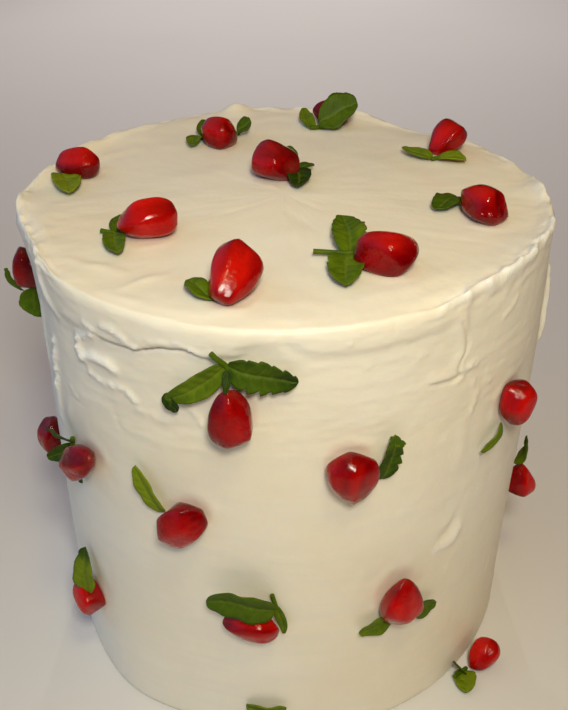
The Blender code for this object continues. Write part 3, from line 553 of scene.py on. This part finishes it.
def wallRadius(azimuth, height):
    azimuth, height = np.broadcast_arrays(azimuth, height)
    out = radius + bandProud(azimuth, height)
    for swell in swells:
        out = out + (swell.push * bell(turnBetween(azimuth, swell.azimuth), swell.across)
                     * bell(height - swell.height, swell.tall))
    lumpy = 0.7 + 0.6 * softNoise(azimuth / 0.8 + 90, height / 0.8 + 70, 61)
    for mark in wallMarks:
        middle = mark.path[0][0]
        px = (turnBetween(azimuth, middle) + middle) * degreeLength
        near, where = nearPath(px, height, onWall(mark.path))
        fade = 0.45 + 0.55 * np.sin(np.pi * np.clip(0.12 + 0.76 * where, 0, 1))
        out = out + mark.rise * fade * (lumpy if mark.width < 1.15 else 1.0) * bell(near, mark.width)
    around = turnBetween(azimuth, 0.0)
    px = around * degreeLength
    for cut in (crack, flapEdge):
        near, where = nearPath(px, height, onWall(cut.path))
        depth = np.sin(np.pi * np.clip(0.1 + 0.85 * where, 0, 1)) ** 0.6
        out = out + cut.rise * depth * bell(near, cut.width)
    flapNear = nearPath(px, height, onWall(flapEdge.path))[0]
    flapInside = smoothStep(26.0, 29.0, around) * (1 - smoothStep(34.8, 36.6, around))
    flapInside = flapInside * smoothStep(94.6, 95.6, height)
    out = out + cake["flap"] * flapInside * bell(flapNear - 0.8, 1.5)
    turns = azimuth / 360.0
    strength = 0.35 + 0.35 * smoothStep(70, 100, height)
    out = out + cake["streaks"] * strength * softNoise(turns * 24, height / 1.7, 3, 24)
    out = out + cake["lumps"] * strength * softNoise(turns * 42, height / 7.5, 5, 42)
    return out + cake["waves"] * softNoise(turns * 12, height / 26.0, 8, 12)


def tornAndHighlitFrosting(azimuth, height):
    # 1 on the sharpest raised marks, where the frosting is torn, and 0 where it is smooth; the finish paints
    # it whiter there as a painted highlight
    torn = np.zeros(azimuth.shape)
    for mark in wallMarks:
        if mark.rise > 0.45:
            px = turnBetween(azimuth, mark.path[0][0]) + mark.path[0][0]
            near = nearPath(px * degreeLength, height, onWall(mark.path))[0]
            torn = np.maximum(torn, min(1.0, mark.rise) * bell(near, 0.9 * mark.width))
    return torn


def lipRise(azimuth):
    rise = sum(bump.rise * bell(turnBetween(azimuth, bump.azimuth), bump.across) for bump in lipBumps)
    turns = azimuth / 360.0
    back = 0.35 + 0.65 * smoothStep(30, 60, np.abs(turnBetween(azimuth, 0.0)))
    rise = rise + cake["rimLumps"] * back * softNoise(turns * 70, 0.5, 21, 70)
    return rise + 0.5 * cake["rimLumps"] * back * softNoise(turns * 170, 0.5, 22, 170)


def topHeight(x, y):
    x, y = np.broadcast_arrays(x, y)
    height = cake["height"]
    for rise, perX, perY, phase in cake["topSwell"]:
        height = height + rise * np.sin(perX * x + perY * y + phase)
    for mark in topMarks:
        near, where = nearPath(x, y, mark.path)
        fade = 0.3 + 0.7 * np.sin(np.pi * np.clip(0.08 + 0.84 * where, 0, 1))
        height = height + mark.rise * fade * bell(near, mark.width)
    bowed = y + 0.006 * x * x
    height = height + cake["streaks"] * 0.35 * softNoise(x / 18.0 + 40, bowed / 2.2 + 40, 31)
    return height + cake["lumps"] * 0.7 * softNoise(x / 9.0 + 40, bowed / 7.0 + 40, 33)


def rimRoughness(azimuth, climb):
    # Torn, crumbly frosting along the rim. Climb is millimetres up the last of the wall and over the lip.
    around = turnBetween(azimuth, 0.0)
    torn = np.clip(smoothStep(20, 34, around) + smoothStep(-42, -60, around), 0.12, 1.0)
    turns = azimuth / 360.0
    ridged = 1 - 2.4 * np.abs(softNoise(turns * 66, climb / 1.1 + 50, 51, 66))
    fine = softNoise(turns * 240, climb / 0.7 + 50, 52, 240)
    rough = torn * bell(climb - 2.4, 2.2) * (0.38 * ridged + 0.26 * fine)
    rope = smoothStep(27, 35, around) * (1 - smoothStep(66, 84, around))
    rope = rope + 0.5 * bell(turnBetween(azimuth, -62), 12)
    uneven = 0.75 + 0.5 * softNoise(turns * 90, 0.5, 53, 90)
    rope = rope * uneven * bell(climb - 2.2, 0.85)
    # The last value is the rope and the torn rim, which the finish paints whiter as a highlight
    crumbHighlight = rope + 0.5 * torn * bell(climb - 2.6, 1.6) * (ridged > 0.3)
    return rough, cake["rope"] * rope, np.clip(crumbHighlight, 0, 1)


def arilFootprint(garnish, a, b):
    # Distance in millimetres from the edge of the aril that lies there, negative under it
    aril = garnish.aril
    heading = math.radians(aril.heading)
    u = a * math.cos(heading) + b * math.sin(heading)
    v = -a * math.sin(heading) + b * math.cos(heading)
    reach = np.hypot(u / (aril.length / 2), v / (aril.width / 2))
    return (reach - 1.0) * (aril.length + aril.width) / 4


def pressed(garnish, a, b, amount):
    # Frosting swells in a low uneven ring round an aril, and takes a little of its juice
    distance = arilFootprint(garnish, a, b)
    uneven = 0.7 + 0.5 * softNoise(a / 3.0 + 60, b / 3.0 + 60, 41)
    ring = cake["pressRise"] * amount * uneven * bell(distance - 0.4, cake["pressWidth"])
    juice = np.where(distance < 0, 1.0, bell(distance, cake["juiceWidth"]))
    return ring, juice


def cakeRings():
    # Azimuths of the columns, closer together at the front
    span = cake["frontSpan"]
    front = np.linspace(-span, span, int(2 * span / cake["frontColumn"]) + 1)
    rest = np.linspace(span, 360 - span, int((360 - 2 * span) / cake["backColumn"]) + 1)[1:-1]
    azimuth = np.concatenate([front, rest])
    lower = np.arange(cake["footRounding"], cake["upperFrom"], cake["lowerRow"])
    upper = np.arange(cake["upperFrom"], cake["wallTop"], cake["upperRow"])
    heights = np.concatenate([lower, upper])
    ringAzimuth, ringHeight = np.meshgrid(azimuth, heights)
    ringRadius = wallRadius(ringAzimuth, ringHeight)
    juice = np.zeros_like(ringRadius)
    for garnish in garnishes:
        if garnish.seat == "wall":
            a = turnBetween(ringAzimuth, garnish.place[0]) * degreeLength
            ring, stain = pressed(garnish, a, ringHeight - garnish.place[1], cake["wallPress"])
            ringRadius = ringRadius + ring
            juice = np.maximum(juice, stain)
    rough, rope, rimTornAndHighlit = rimRoughness(ringAzimuth, ringHeight - heights[-1])
    ringRadius = ringRadius + rough + rope
    # Torn clumps and the rim, painted whiter as a highlight in the finish
    torn = np.maximum(tornAndHighlitFrosting(ringAzimuth, ringHeight), rimTornAndHighlit)
    foot, clean = wallRadius(azimuth, 0.0), 0 * azimuth
    rings = [(foot - cake["footRounding"] * share, height + clean, clean, clean)
             for share, height in ((1.0, 0.0), (0.45, 0.25), (0.1, 0.7))]
    rings += list(zip(ringRadius, ringHeight, juice, torn))

    # Over the lip: a rounded, crumbly edge, then in over the top
    edge = ringRadius[-1] - sum(rimRoughness(azimuth, 0.0)[:2])
    rise = lipRise(azimuth)
    lip = cake["lipWidth"]
    lipInset = lip * cake["lipShare"]
    xDir, yDir = np.sin(np.radians(azimuth)), -np.cos(np.radians(azimuth))
    start = heights[-1]
    crest = cake["height"] + rise
    for t in np.linspace(0, 1, cake["lipRows"])[1:]:
        inset = lipInset * (1 - math.cos(t * math.pi / 2)) ** 1.2
        ringZ = start + (crest - start) * math.sin(t * math.pi / 2)
        rough, rope, torn = rimRoughness(azimuth, cake["lipClimb"] * t)
        rings.append((edge - inset + (rough + rope) * (1 - t), ringZ + (rough + rope) * t, clean, torn))
    inset = lipInset
    step = cake["topRow"][0]
    while inset < edge.min() - cake["crown"]:
        inset += step
        step = min(cake["topRow"][1], step * cake["rowGrowth"])
        r = np.maximum(edge - inset, cake["crownShare"] * edge)
        x, y = r * xDir, r * yDir
        level, stain = topHeight(x, y), clean
        for garnish in topGarnishes:
            ring, juice = pressed(garnish, x - garnish.place[0], y - garnish.place[1], cake["topPress"])
            level = level + ring
            stain = np.maximum(stain, juice)
        t = smoothStep(lipInset, 1.25 * lip, inset)
        settle = 0.35 * rise * bell(inset / lip - 1.0, 1.0)
        rough, rope, torn = rimRoughness(azimuth, cake["lipClimb"] + inset - lipInset)
        rings.append((r, crest * (1 - t) + (level + settle) * t + rough + rope, stain * t, torn))
    return azimuth, rings


def makeMesh(name, vertices, faces, finish, smooth=True):
    mesh = bpy.data.meshes.new(name)
    mesh.from_pydata(vertices, [], faces)
    mesh.update()
    if smooth:
        mesh.shade_smooth()
    mesh.materials.append(finish)
    piece = bpy.data.objects.new(name, mesh)
    bpy.context.collection.objects.link(piece)
    return piece


def setAttribute(mesh, name, values):
    layer = mesh.attributes.new(name, "FLOAT", "POINT")
    layer.data.foreach_set("value", np.asarray(values, dtype=np.float32))


def makeFrosting(finish):
    azimuth, rings = cakeRings()
    columns = len(azimuth)
    xDir, yDir = np.sin(np.radians(azimuth)), -np.cos(np.radians(azimuth))
    points = [np.stack([r * xDir, r * yDir, z], 1) for r, z, juice, torn in rings]
    points = np.concatenate(points + [np.array([[0.0, 0.0, 0.0], [0.0, 0.0, float(topHeight(0.0, 0.0))]])])
    faces = []
    for low in range(0, (len(rings) - 1) * columns, columns):
        for i in range(columns):
            after = low + (i + 1) % columns
            faces.append((low + i, after, after + columns, low + columns + i))
    foot, crown = len(points) - 2, len(points) - 1
    last = (len(rings) - 1) * columns
    faces += [((i + 1) % columns, i, foot) for i in range(columns)]
    faces += [(last + i, last + (i + 1) % columns, crown) for i in range(columns)]
    frosting = makeMesh("frosting", (points * mm).tolist(), faces, finish)
    for column, name in ((2, "juice"), (3, "torn")):
        setAttribute(frosting.data, name, np.concatenate([ring[column] for ring in rings] + [np.zeros(2)]))
    return frosting


# Geometry Nodes: a tree with named inputs, then its result as a plain mesh

def newTool(name, inputs):
    tree = bpy.data.node_groups.new(name, "GeometryNodeTree")
    tree.interface.new_socket("Geometry", in_out="INPUT", socket_type="NodeSocketGeometry")
    kinds = {float: "NodeSocketFloat", int: "NodeSocketInt", str: "NodeSocketMaterial"}
    for label, kind in inputs.items():
        tree.interface.new_socket(label, in_out="INPUT", socket_type=kinds[kind])
    tree.interface.new_socket("Geometry", in_out="OUTPUT", socket_type="NodeSocketGeometry")
    graph = Graph(tree)
    source = graph.add("NodeGroupInput").socket.node
    wires = {socket.name: Wire(graph, socket) for socket in source.outputs if socket.name}
    return graph, wires


def endTool(graph, geometry, finish):
    real = graph.add("GeometryNodeRealizeInstances", {}, {"Geometry": geometry})
    smooth = graph.add("GeometryNodeSetShadeSmooth", {}, {"Geometry": real})
    dressed = graph.add("GeometryNodeSetMaterial", {}, {"Geometry": smooth, "Material": finish})
    graph.add("NodeGroupOutput", {}, {"Geometry": dressed})


def runTool(piece, graph, values):
    modifier = piece.modifiers.new(graph.tree.name, "NODES")
    modifier.node_group = graph.tree
    for socket in graph.tree.interface.items_tree:
        if socket.in_out == "INPUT" and socket.name in values:
            modifier[socket.identifier] = values[socket.name]
    evaluated = piece.evaluated_get(bpy.context.evaluated_depsgraph_get())
    made = bpy.data.meshes.new_from_object(evaluated)
    piece.modifiers.remove(modifier)
    finished = bpy.data.objects.new(piece.name, made)
    label = piece.name
    bpy.data.objects.remove(piece, do_unlink=True)
    finished.name = label
    bpy.context.collection.objects.link(finished)
    return finished


handSpread = {"Ripple height": 0.00016, "Ripple scale": 260.0, "Foot": 0.003}


def makeHandSpreadTool():
    # Fine ripples dragged round the cake, above its foot
    graph, wires = newTool("handSpread", {
        "Ripple height": float, "Ripple scale": float, "Foot": float, "Finish": str,
    })
    place = graph.add("GeometryNodeInputPosition")
    drag = graph.noise(graph.stretched(place, (1.0, 1.0, 2.6)), wires["Ripple scale"], 3.0)
    offset = graph.pushedOut((drag - 0.5) * wires["Ripple height"] * 2.0)
    above = graph.add("ShaderNodeSeparateXYZ", {}, {0: place}, output="Z") > wires["Foot"]
    rippled = graph.add("GeometryNodeSetPosition", {}, {
        "Geometry": wires["Geometry"], "Selection": above, "Offset": offset,
    })
    endTool(graph, rippled, wires["Finish"])
    return graph


# Seats: points on the finished frosting

class Seat:
    def __init__(self, surface, garnish):
        self.surface = surface
        self.kind = garnish.seat
        self.place = garnish.place
        azimuth = math.radians(self.place[0])
        self.out = Vector((math.sin(azimuth), -math.cos(azimuth), 0))
        self.side = Vector((math.cos(azimuth), math.sin(azimuth), 0))

    def outside(self, a, b):
        # A point well clear of the frosting above a, b, and the way outwards there
        if self.kind == "top":
            return Vector((self.place[0] + a, self.place[1] + b, cake["height"] + 40)) * mm, Vector((0, 0, 1))
        if self.kind == "foot":
            return (self.out * (radius + self.place[1] + b) + self.side * a) * mm, Vector((0, 0, 1))
        azimuth = math.radians(self.place[0]) + a / radius
        out = Vector((math.sin(azimuth), -math.cos(azimuth), 0))
        point = out * (radius + 40)
        point.z = self.place[1] + b
        return point * mm, out

    def point(self, a, b, n):
        # The point n above the frosting. Past the rim of the top it keeps the height of the last frosting.
        start, out = self.outside(a, b)
        if self.kind == "foot":
            return start + out * (n * mm)
        hit = self.surface.ray_cast(start, -out)[0]
        while hit is None:
            a, b = a * 0.95, b * 0.95
            hit = self.surface.ray_cast(self.outside(a, b)[0], -out)[0]
            if hit is not None:
                hit = start + out * (hit - start).dot(out)
        return hit + out * (n * mm)

    def flatPoint(self, a, b, n):
        # The same, above the flat plane that touches the frosting at the middle of the garnish
        middle = self.point(0, 0, n)
        if self.kind == "wall":
            return middle + (self.side * a + Vector((0, 0, b))) * mm
        start = self.outside(a, b)[0]
        start.z = middle.z
        return start


# Arils

arilForm = {
    "sides": 36, "rings": 24, "sink": 1.1, "fullness": 2.7, "pointed": 1.3, "narrowing": 1.4, "facets": 6,
    "facetSharpness": 12, "facetDepth": (0.84, 1.06), "twist": 0.3, "endCuts": 4, "cutDepth": (0.72, 0.90),
    "cutFirmness": 0.85, "cutSoftness": 0.09, "pointedFrom": 0.22, "seed": 12,
}


def facetedRing(facets, angle, t):
    # Size and painted glow of the section in one direction: a soft-cornered polygon that twists along the
    # aril
    total = 0.0
    glow = 0.0
    for direction, depth, twist, light in facets:
        lean = math.cos(angle - direction - twist * t)
        if lean > 0:
            share = (lean / depth) ** arilForm["facetSharpness"]
            total += share
            glow += share * light
    return total ** (-1.0 / arilForm["facetSharpness"]), glow / total


def addAril(number, garnish, surface, draw, vertices, faces, points):
    aril, seat, form = garnish.aril, Seat(surface, garnish), arilForm
    heading, lean = math.radians(aril.heading), math.radians(aril.lean)
    along = Vector((math.cos(heading), math.sin(heading)))
    across = Vector((-along.y, along.x))
    reach = math.hypot(aril.length / 2 * math.sin(lean), aril.height / 2 * math.cos(lean))
    middle = reach - (form["sink"] if garnish.seat != "foot" else 0.1)
    facets = []
    for k in range(form["facets"]):
        direction = 2 * math.pi * (k + draw.uniform(-0.22, 0.22)) / form["facets"]
        facets.append((direction, draw.uniform(*form["facetDepth"]), draw.uniform(-1, 1) * form["twist"],
                       draw.random()))
    cuts = []
    for k in range(form["endCuts"]):
        way = Vector((1 if k % 2 else -1, draw.uniform(-0.9, 0.9), draw.uniform(-0.9, 0.9))).normalized()
        cuts.append((way, draw.uniform(*form["cutDepth"])))
    first = len(vertices)
    sides, rings = form["sides"], form["rings"]
    pointed = form["fullness"] - form["pointed"] * float(smoothStep(form["pointedFrom"], 0.46, aril.taper))
    shapes, shades = [], []

    def shape(t, v, w, glow, tip):
        point = Vector((t, v, w))
        for way, depth in cuts:
            over, soft = point.dot(way) - depth, form["cutSoftness"]
            over = max(over, 0.0) if abs(over) > soft else (over + soft) ** 2 / (4 * soft)
            point -= way * (over * form["cutFirmness"])
        shapes.append(point)
        shades.append((glow, tip))

    for ring in range(rings):
        t = -math.cos(math.pi * (ring + 0.5) / rings)
        body = max(0.0, 1 - abs(t) ** (pointed if t > 0 else form["fullness"])) ** 0.5
        body *= 1 - aril.taper * (0.5 + 0.5 * t) ** form["narrowing"]
        for k in range(sides):
            angle = 2 * math.pi * k / sides
            size, glow = facetedRing(facets, angle, t)
            tip = max(0.0, (t - 0.8) / 0.2) ** 1.5
            shape(t, math.cos(angle) * size * body, math.sin(angle) * size * body, glow, tip)
    for ring in range(rings - 1):
        low, high = first + ring * sides, first + (ring + 1) * sides
        faces += [(low + k, low + (k + 1) % sides, high + (k + 1) % sides, high + k) for k in range(sides)]
    shape(-1.0, 0, 0, 0.5, 0.0)
    shape(1.0, 0, 0, 0.5, 1.0)

    # Back to its measured length, width and height after the cuts, and onto the frosting
    lows = Vector([min(point[axis] for point in shapes) for axis in range(3)])
    highs = Vector([max(point[axis] for point in shapes) for axis in range(3)])
    for point, (glow, tip) in zip(shapes, shades):
        t, v, w = [(2 * here - low - high) / (high - low) for here, low, high in zip(point, lows, highs)]
        # Painted light: the upper side of the aril gets more glow, the ends less
        upward = 0.5 + 0.5 * w * math.cos(lean)
        u, v, w = t * aril.length / 2, v * aril.width / 2, w * aril.height / 2
        flat = along * (u * math.cos(lean) + w * math.sin(lean)) + across * v
        n = middle - u * math.sin(lean) + w * math.cos(lean)
        vertices.append(seat.flatPoint(flat.x, flat.y, n))
        points["glow"].append((0.35 + 0.65 * glow) * (0.35 + 0.65 * upward) * (1 - 0.4 * t * t))
        points["low"].append(float(smoothStep(1.8, 0.2, n)))
        points["tip"].append(tip)
        points["tone"].append(aril.tone)
        points["inner"].append((u * 0.4 * mm + 0.05 * number, v * mm, w * mm))
    wide, narrow = len(vertices) - 2, len(vertices) - 1
    top = first + (rings - 1) * sides
    faces += [(first + (k + 1) % sides, first + k, wide) for k in range(sides)]
    faces += [(top + k, top + (k + 1) % sides, narrow) for k in range(sides)]


def outwards(piece):
    # Turns every face of a closed mesh outwards
    work = bmesh.new()
    work.from_mesh(piece.data)
    bmesh.ops.recalc_face_normals(work, faces=work.faces)
    work.to_mesh(piece.data)
    work.free()


def makeArils(surface, finish):
    draw = random.Random(arilForm["seed"])
    vertices, faces = [], []
    points = {"glow": [], "low": [], "tip": [], "tone": [], "inner": []}
    for number, garnish in enumerate(garnishes):
        addAril(number, garnish, surface, draw, vertices, faces, points)
    arils = makeMesh("arils", [tuple(v) for v in vertices], faces, finish)
    inner = arils.data.attributes.new("inner", "FLOAT_VECTOR", "POINT")
    inner.data.foreach_set("vector", np.array(points.pop("inner"), dtype=np.float32).ravel())
    for name, values in points.items():
        setAttribute(arils.data, name, values)
    outwards(arils)
    return arils


plumpSkin = {"Skin relief": 0.00022, "Skin scale": 210.0}


def makePlumpTool():
    # The small hollows and swellings of a fresh aril's skin
    graph, wires = newTool("plumpSkin", {"Skin relief": float, "Skin scale": float, "Finish": str})
    place = graph.add("GeometryNodeInputPosition")
    swelling = graph.noise(place, wires["Skin scale"], 1.0) - 0.5
    offset = graph.pushedOut(swelling * wires["Skin relief"] * 2.0)
    plump = graph.add("GeometryNodeSetPosition", {}, {"Geometry": wires["Geometry"], "Offset": offset})
    endTool(graph, plump, wires["Finish"])
    return graph


# Mint leaves

leafForm = {
    "rows": 44, "across": 12, "thickness": 0.34, "footWidth": 0.8, "tipWidth": 0.08, "widest": 0.90,
    "full": 0.50, "narrowing": 0.16, "toothLength": 2.1, "toothDepth": 0.14, "cup": 0.26, "wave": 0.10,
    "waves": 2.2, "flutter": 0.05, "veinSpacing": 2.1, "veinDepth": 0.12, "quilt": 0.12,
    "clear": 0.15, "curl": 0.4,
}


def leafPath(leaf, t):
    start, end = Vector(leaf.start), Vector(leaf.end)
    chord = end - start
    side = Vector((-chord.y, chord.x))
    return start + chord * t + side * (math.tan(math.radians(leaf.bend)) * t * (1 - t)), side.normalized()


def leafRise(leaf, t):
    low, mid, high = leaf.rise
    return low * (1 - t) * (1 - 2 * t) + mid * 4 * t * (1 - t) + high * t * (2 * t - 1)


def leafHalfWidth(leaf, t, length, side):
    form = leafForm
    if t >= 1:
        return form["tipWidth"] / 2
    along = t ** form["widest"]
    half = (4 * along * (1 - along)) ** form["full"] * (1 - form["narrowing"] * t) * leaf.width / 2
    half = max(form["footWidth"] / 2 * (1 - t), half)
    tooth = (t * length / form["toothLength"] + (0.45 if side > 0 else 0.0)) % 1.0
    depth = form["toothDepth"] * leaf.teeth * smoothStep(0.14, 0.34, t) * (0.7 + 0.3 * math.sin(7 * t + side))
    return half * (1 - depth * tooth ** 1.8)


def veinStrength(t, s, length):
    # 1 on the midrib, and less on the side veins that slant from it towards the tip
    midrib = math.exp(-(s / 0.07) ** 2)
    station = (t * length - abs(s) ** 1.3 * 1.9) / leafForm["veinSpacing"] + (0.4 if s > 0 else 0.0)
    off = abs(station - round(station))
    side = math.exp(-(off / 0.09) ** 2) * (0.55 - 0.4 * abs(s)) * smoothStep(0.04, 0.2, t)
    return max(midrib, float(side)), off


def addLeaf(leaf, seat, phase, vertices, faces, tones, veins):
    form = leafForm
    rows, across = form["rows"], form["across"]
    length = (Vector(leaf.end) - Vector(leaf.start)).length
    roll = math.radians(leaf.roll)
    first = len(vertices)
    for level in (0, 1):
        for row in range(rows + 1):
            t = row / rows
            middle, side = leafPath(leaf, t)
            halves = [leafHalfWidth(leaf, t, length, way) for way in (-1, 1)]
            half = sum(halves) / 2
            for column in range(across + 1):
                s = 2 * column / across - 1
                offset = s * halves[1 if s > 0 else 0]
                flat = middle + side * (offset * math.cos(roll))
                vein, off = veinStrength(t, s, length)
                cup = form["cup"] * abs(offset)
                wave = form["wave"] * half * math.sin(form["waves"] * math.pi * t + s + phase)
                ruffle = math.sin(1.4 * t * length + 2 * phase + 1.5 * s)
                flutter = form["flutter"] * abs(s) ** 3 * half * ruffle
                quilt = form["quilt"] * (off * 2) ** 1.2 * (1 - s * s) * min(1.0, half / 2)
                quilt -= form["veinDepth"] * vein
                tilt = (half + offset) * math.sin(roll)
                curl = form["curl"] * smoothStep(0.8, 1.0, t)
                n = form["clear"] + max(0.0, leafRise(leaf, t) + cup + wave + flutter + tilt + curl + quilt)
                vertices.append(seat.point(flat.x, flat.y, n + level * form["thickness"]))
                tone = leaf.tone + leaf.tip * smoothStep(0.6, 0.9, t)
                tone += 0.10 * math.sin(5 * s + phase) * (1 - t)
                tones.append(float(np.clip(tone, 0, 1)))
                veins.append(vein)
    width = across + 1
    upper = first + (rows + 1) * width
    for row in range(rows):
        for column in range(across):
            i = row * width + column
            faces.append((first + i, first + i + width, first + i + width + 1, first + i + 1))
            faces.append((upper + i, upper + i + 1, upper + i + width + 1, upper + i + width))
    loop = [row * width for row in range(rows + 1)]
    loop += [rows * width + column for column in range(1, width)]
    loop += [row * width + across for row in range(rows - 1, -1, -1)]
    loop += [column for column in range(across - 1, 0, -1)]
    for k, here in enumerate(loop):
        after = loop[(k + 1) % len(loop)]
        faces.append((first + here, first + after, upper + after, upper + here))


def makeLeaves(surface, finish):
    vertices, faces, tones, veins = [], [], [], []
    count = 0
    for garnish in garnishes:
        seat = Seat(surface, garnish)
        for leaf in garnish.leaves:
            if isinstance(leaf, Leaf):
                count += 1
                addLeaf(leaf, seat, 1.9 * count, vertices, faces, tones, veins)
    leaves = makeMesh("mintLeaves", [tuple(v) for v in vertices], faces, finish)
    setAttribute(leaves.data, "tone", tones)
    setAttribute(leaves.data, "vein", veins)
    outwards(leaves)
    print("mint leaves:", count)
    return leaves


# Mint stems, swept along their lines by Geometry Nodes

stalk = {"Radius": 0.00052, "Sides": 10, "Steps": 10, "lift": 0.45, "bends": 4}


def makeStalkTool():
    graph, wires = newTool("stalk", {"Radius": float, "Sides": int, "Steps": int, "Finish": str})
    line = graph.add("GeometryNodeMeshToCurve", {}, {"Mesh": wires["Geometry"]})
    line = graph.add("GeometryNodeResampleCurve", {}, {"Curve": line, "Count": wires["Steps"]})
    ring = graph.add("GeometryNodeCurvePrimitiveCircle", {}, {
        "Resolution": wires["Sides"], "Radius": wires["Radius"],
    })
    tube = graph.add("GeometryNodeCurveToMesh", {}, {"Curve": line, "Profile Curve": ring, "Fill Caps": True})
    endTool(graph, tube, wires["Finish"])
    return graph


def makeStems(surface, finish):
    vertices, edges = [], []
    for garnish in garnishes:
        seat = Seat(surface, garnish)
        for stem in garnish.leaves:
            if isinstance(stem, Stem):
                first = len(vertices)
                start, end = Vector(stem.start), Vector(stem.end)
                for step in range(stalk["bends"] + 1):
                    t = step / stalk["bends"]
                    flat = start.lerp(end, t)
                    lift = stalk["lift"] + stem.rise[0] + (stem.rise[1] - stem.rise[0]) * t
                    vertices.append(tuple(seat.point(flat.x, flat.y, lift)))
                edges += [(first + step, first + step + 1) for step in range(stalk["bends"])]
    mesh = bpy.data.meshes.new("mintStems")
    mesh.from_pydata(vertices, edges, [])
    stems = bpy.data.objects.new("mintStems", mesh)
    bpy.context.collection.objects.link(stems)
    stems = runTool(stems, makeStalkTool(), {**stalk, "Finish": finish})
    setAttribute(stems.data, "tone", [0.5] * len(stems.data.vertices))
    outwards(stems)
    return stems


# The set: floor, lights and the camera at the photograph's angle

studio = {
    "floorSize": 3.0, "aim": (0, 0, 0.07),
    "skyLeft": rgb(0.16, 0.40, 0.72),
    "skyAbove": rgb(0.27, 0.13, 0.05),
    "lights": {
        "frontNear": {"at": (0.025, -0.25, 0.30), "size": 0.055, "watts": 0.66, "colour": (1.0, 0.95, 0.80)},
        "frontHigh": {"at": (0.05, -0.20, 0.42), "size": 0.07, "watts": 0.27, "colour": (1.0, 0.92, 0.46)},
    },
    "floorWash": {"at": (0.0, 0.85, 0.75), "aim": (0.0, 0.62, 0.0), "watts": 16.0, "cone": 76.0,
                  "colour": (1.0, 0.94, 0.87)},
}
viewpoint = {
    "at": (0.0, -0.19216, 0.19480), "pitch": 0.579998, "yaw": -0.00211, "roll": -0.01373, "focal": 925.84,
    "longSide": 710, "sensor": 36.0,
}


def makeFloor():
    half = studio["floorSize"] / 2
    corners = [(-half, -half, 0), (half, -half, 0), (half, half, 0), (-half, half, 0)]
    floor = makeMesh("floor", corners, [(0, 1, 2, 3)], makeFloorFinish(), smooth=False)


def addLight(kind, name, values, aim):
    lamp = bpy.data.lights.new(name, kind)
    lamp.energy = values["watts"]
    lamp.color = values["colour"]
    light = bpy.data.objects.new(name, lamp)
    light.location = values["at"]
    light.rotation_euler = (Vector(aim) - light.location).to_track_quat("-Z", "Y").to_euler()
    bpy.context.collection.objects.link(light)
    return lamp


def makeLights():
    for name, values in studio["lights"].items():
        lamp = addLight("AREA", name, values, studio["aim"])
        lamp.shape = "DISK"
        lamp.size = values["size"]
    # A spot on the floor behind, clear of the cake, keeps the floor pale
    wash = studio["floorWash"]
    lamp = addLight("SPOT", "floorWash", wash, wash["aim"])
    lamp.spot_size = math.radians(wash["cone"])
    lamp.spot_blend = 1.0

    # Dim room light, cool from the left and warm from above
    world = bpy.data.worlds.new("softRoom")
    world.use_nodes = True
    graph = Graph(world.node_tree)
    direction = graph.add("ShaderNodeTexCoord", {}, {}, output="Generated")
    across = graph.add("ShaderNodeSeparateXYZ", {}, {0: direction}, output="X")
    upwards = graph.add("ShaderNodeSeparateXYZ", {}, {0: direction}, output="Z")
    left = graph.mixColour(across * -1.0, rgb(0, 0, 0), studio["skyLeft"])
    above = graph.mixColour(upwards, rgb(0, 0, 0), studio["skyAbove"])
    graph.feed(world.node_tree.nodes["Background"].inputs["Color"], graph.mixColour(1.0, left, above, "ADD"))
    bpy.context.scene.world = world


def makeCamera():
    pitch, yaw, roll = viewpoint["pitch"], viewpoint["yaw"], viewpoint["roll"]
    forward = Vector((math.sin(yaw) * math.cos(pitch), math.cos(yaw) * math.cos(pitch), -math.sin(pitch)))
    right = forward.cross(Vector((0, 0, 1))).normalized()
    up = right.cross(forward)
    rolledRight = right * math.cos(roll) + up * math.sin(roll)
    rolledUp = up * math.cos(roll) - right * math.sin(roll)
    lens = bpy.data.cameras.new("camera")
    lens.sensor_width = viewpoint["sensor"]
    lens.lens = viewpoint["focal"] * viewpoint["sensor"] / viewpoint["longSide"]
    lens.clip_start = 0.01
    camera = bpy.data.objects.new("camera", lens)
    turn = Matrix((rolledRight, rolledUp, -forward)).transposed().to_4x4()
    camera.matrix_world = Matrix.Translation(viewpoint["at"]) @ turn
    bpy.context.collection.objects.link(camera)
    bpy.context.scene.camera = camera


# Making the cake

print("frosting")
creamFinish = makeFrostingFinish()
frosting = makeFrosting(creamFinish)
frosting = runTool(frosting, makeHandSpreadTool(), {**handSpread, "Finish": creamFinish})
bpy.context.view_layer.update()
cakeSurface = BVHTree.FromObject(frosting, bpy.context.evaluated_depsgraph_get())
print("frosting triangles:", sum(len(face.vertices) - 2 for face in frosting.data.polygons))

print("arils")
arilFinish = makeArilFinish()
arils = runTool(makeArils(cakeSurface, arilFinish), makePlumpTool(), {**plumpSkin, "Finish": arilFinish})

print("mint")
leaves = makeLeaves(cakeSurface, makeLeafFinish("mintLeaf", veined=True))
stems = makeStems(cakeSurface, makeLeafFinish("mintStem", veined=False))

nodes = list(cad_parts)
arilNodes = [name for name in nodes if name.startswith("aril")]
sprigNodes = [name for name in nodes if name.startswith("sprig")]
backNodes = [name for name in nodes if name.startswith("garnish_back")]
for piece, slot, stood in (
    (frosting, "frosting", ["cake"]),
    (arils, "aril", arilNodes + backNodes),
    (leaves, "leaf", sprigNodes + backNodes),
    (stems, "leaf", sprigNodes),
):
    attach(piece, "root")
    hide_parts(*stood)

print("set")
makeFloor()
makeLights()
makeCamera()
bpy.context.scene.view_settings.view_transform = "Standard"
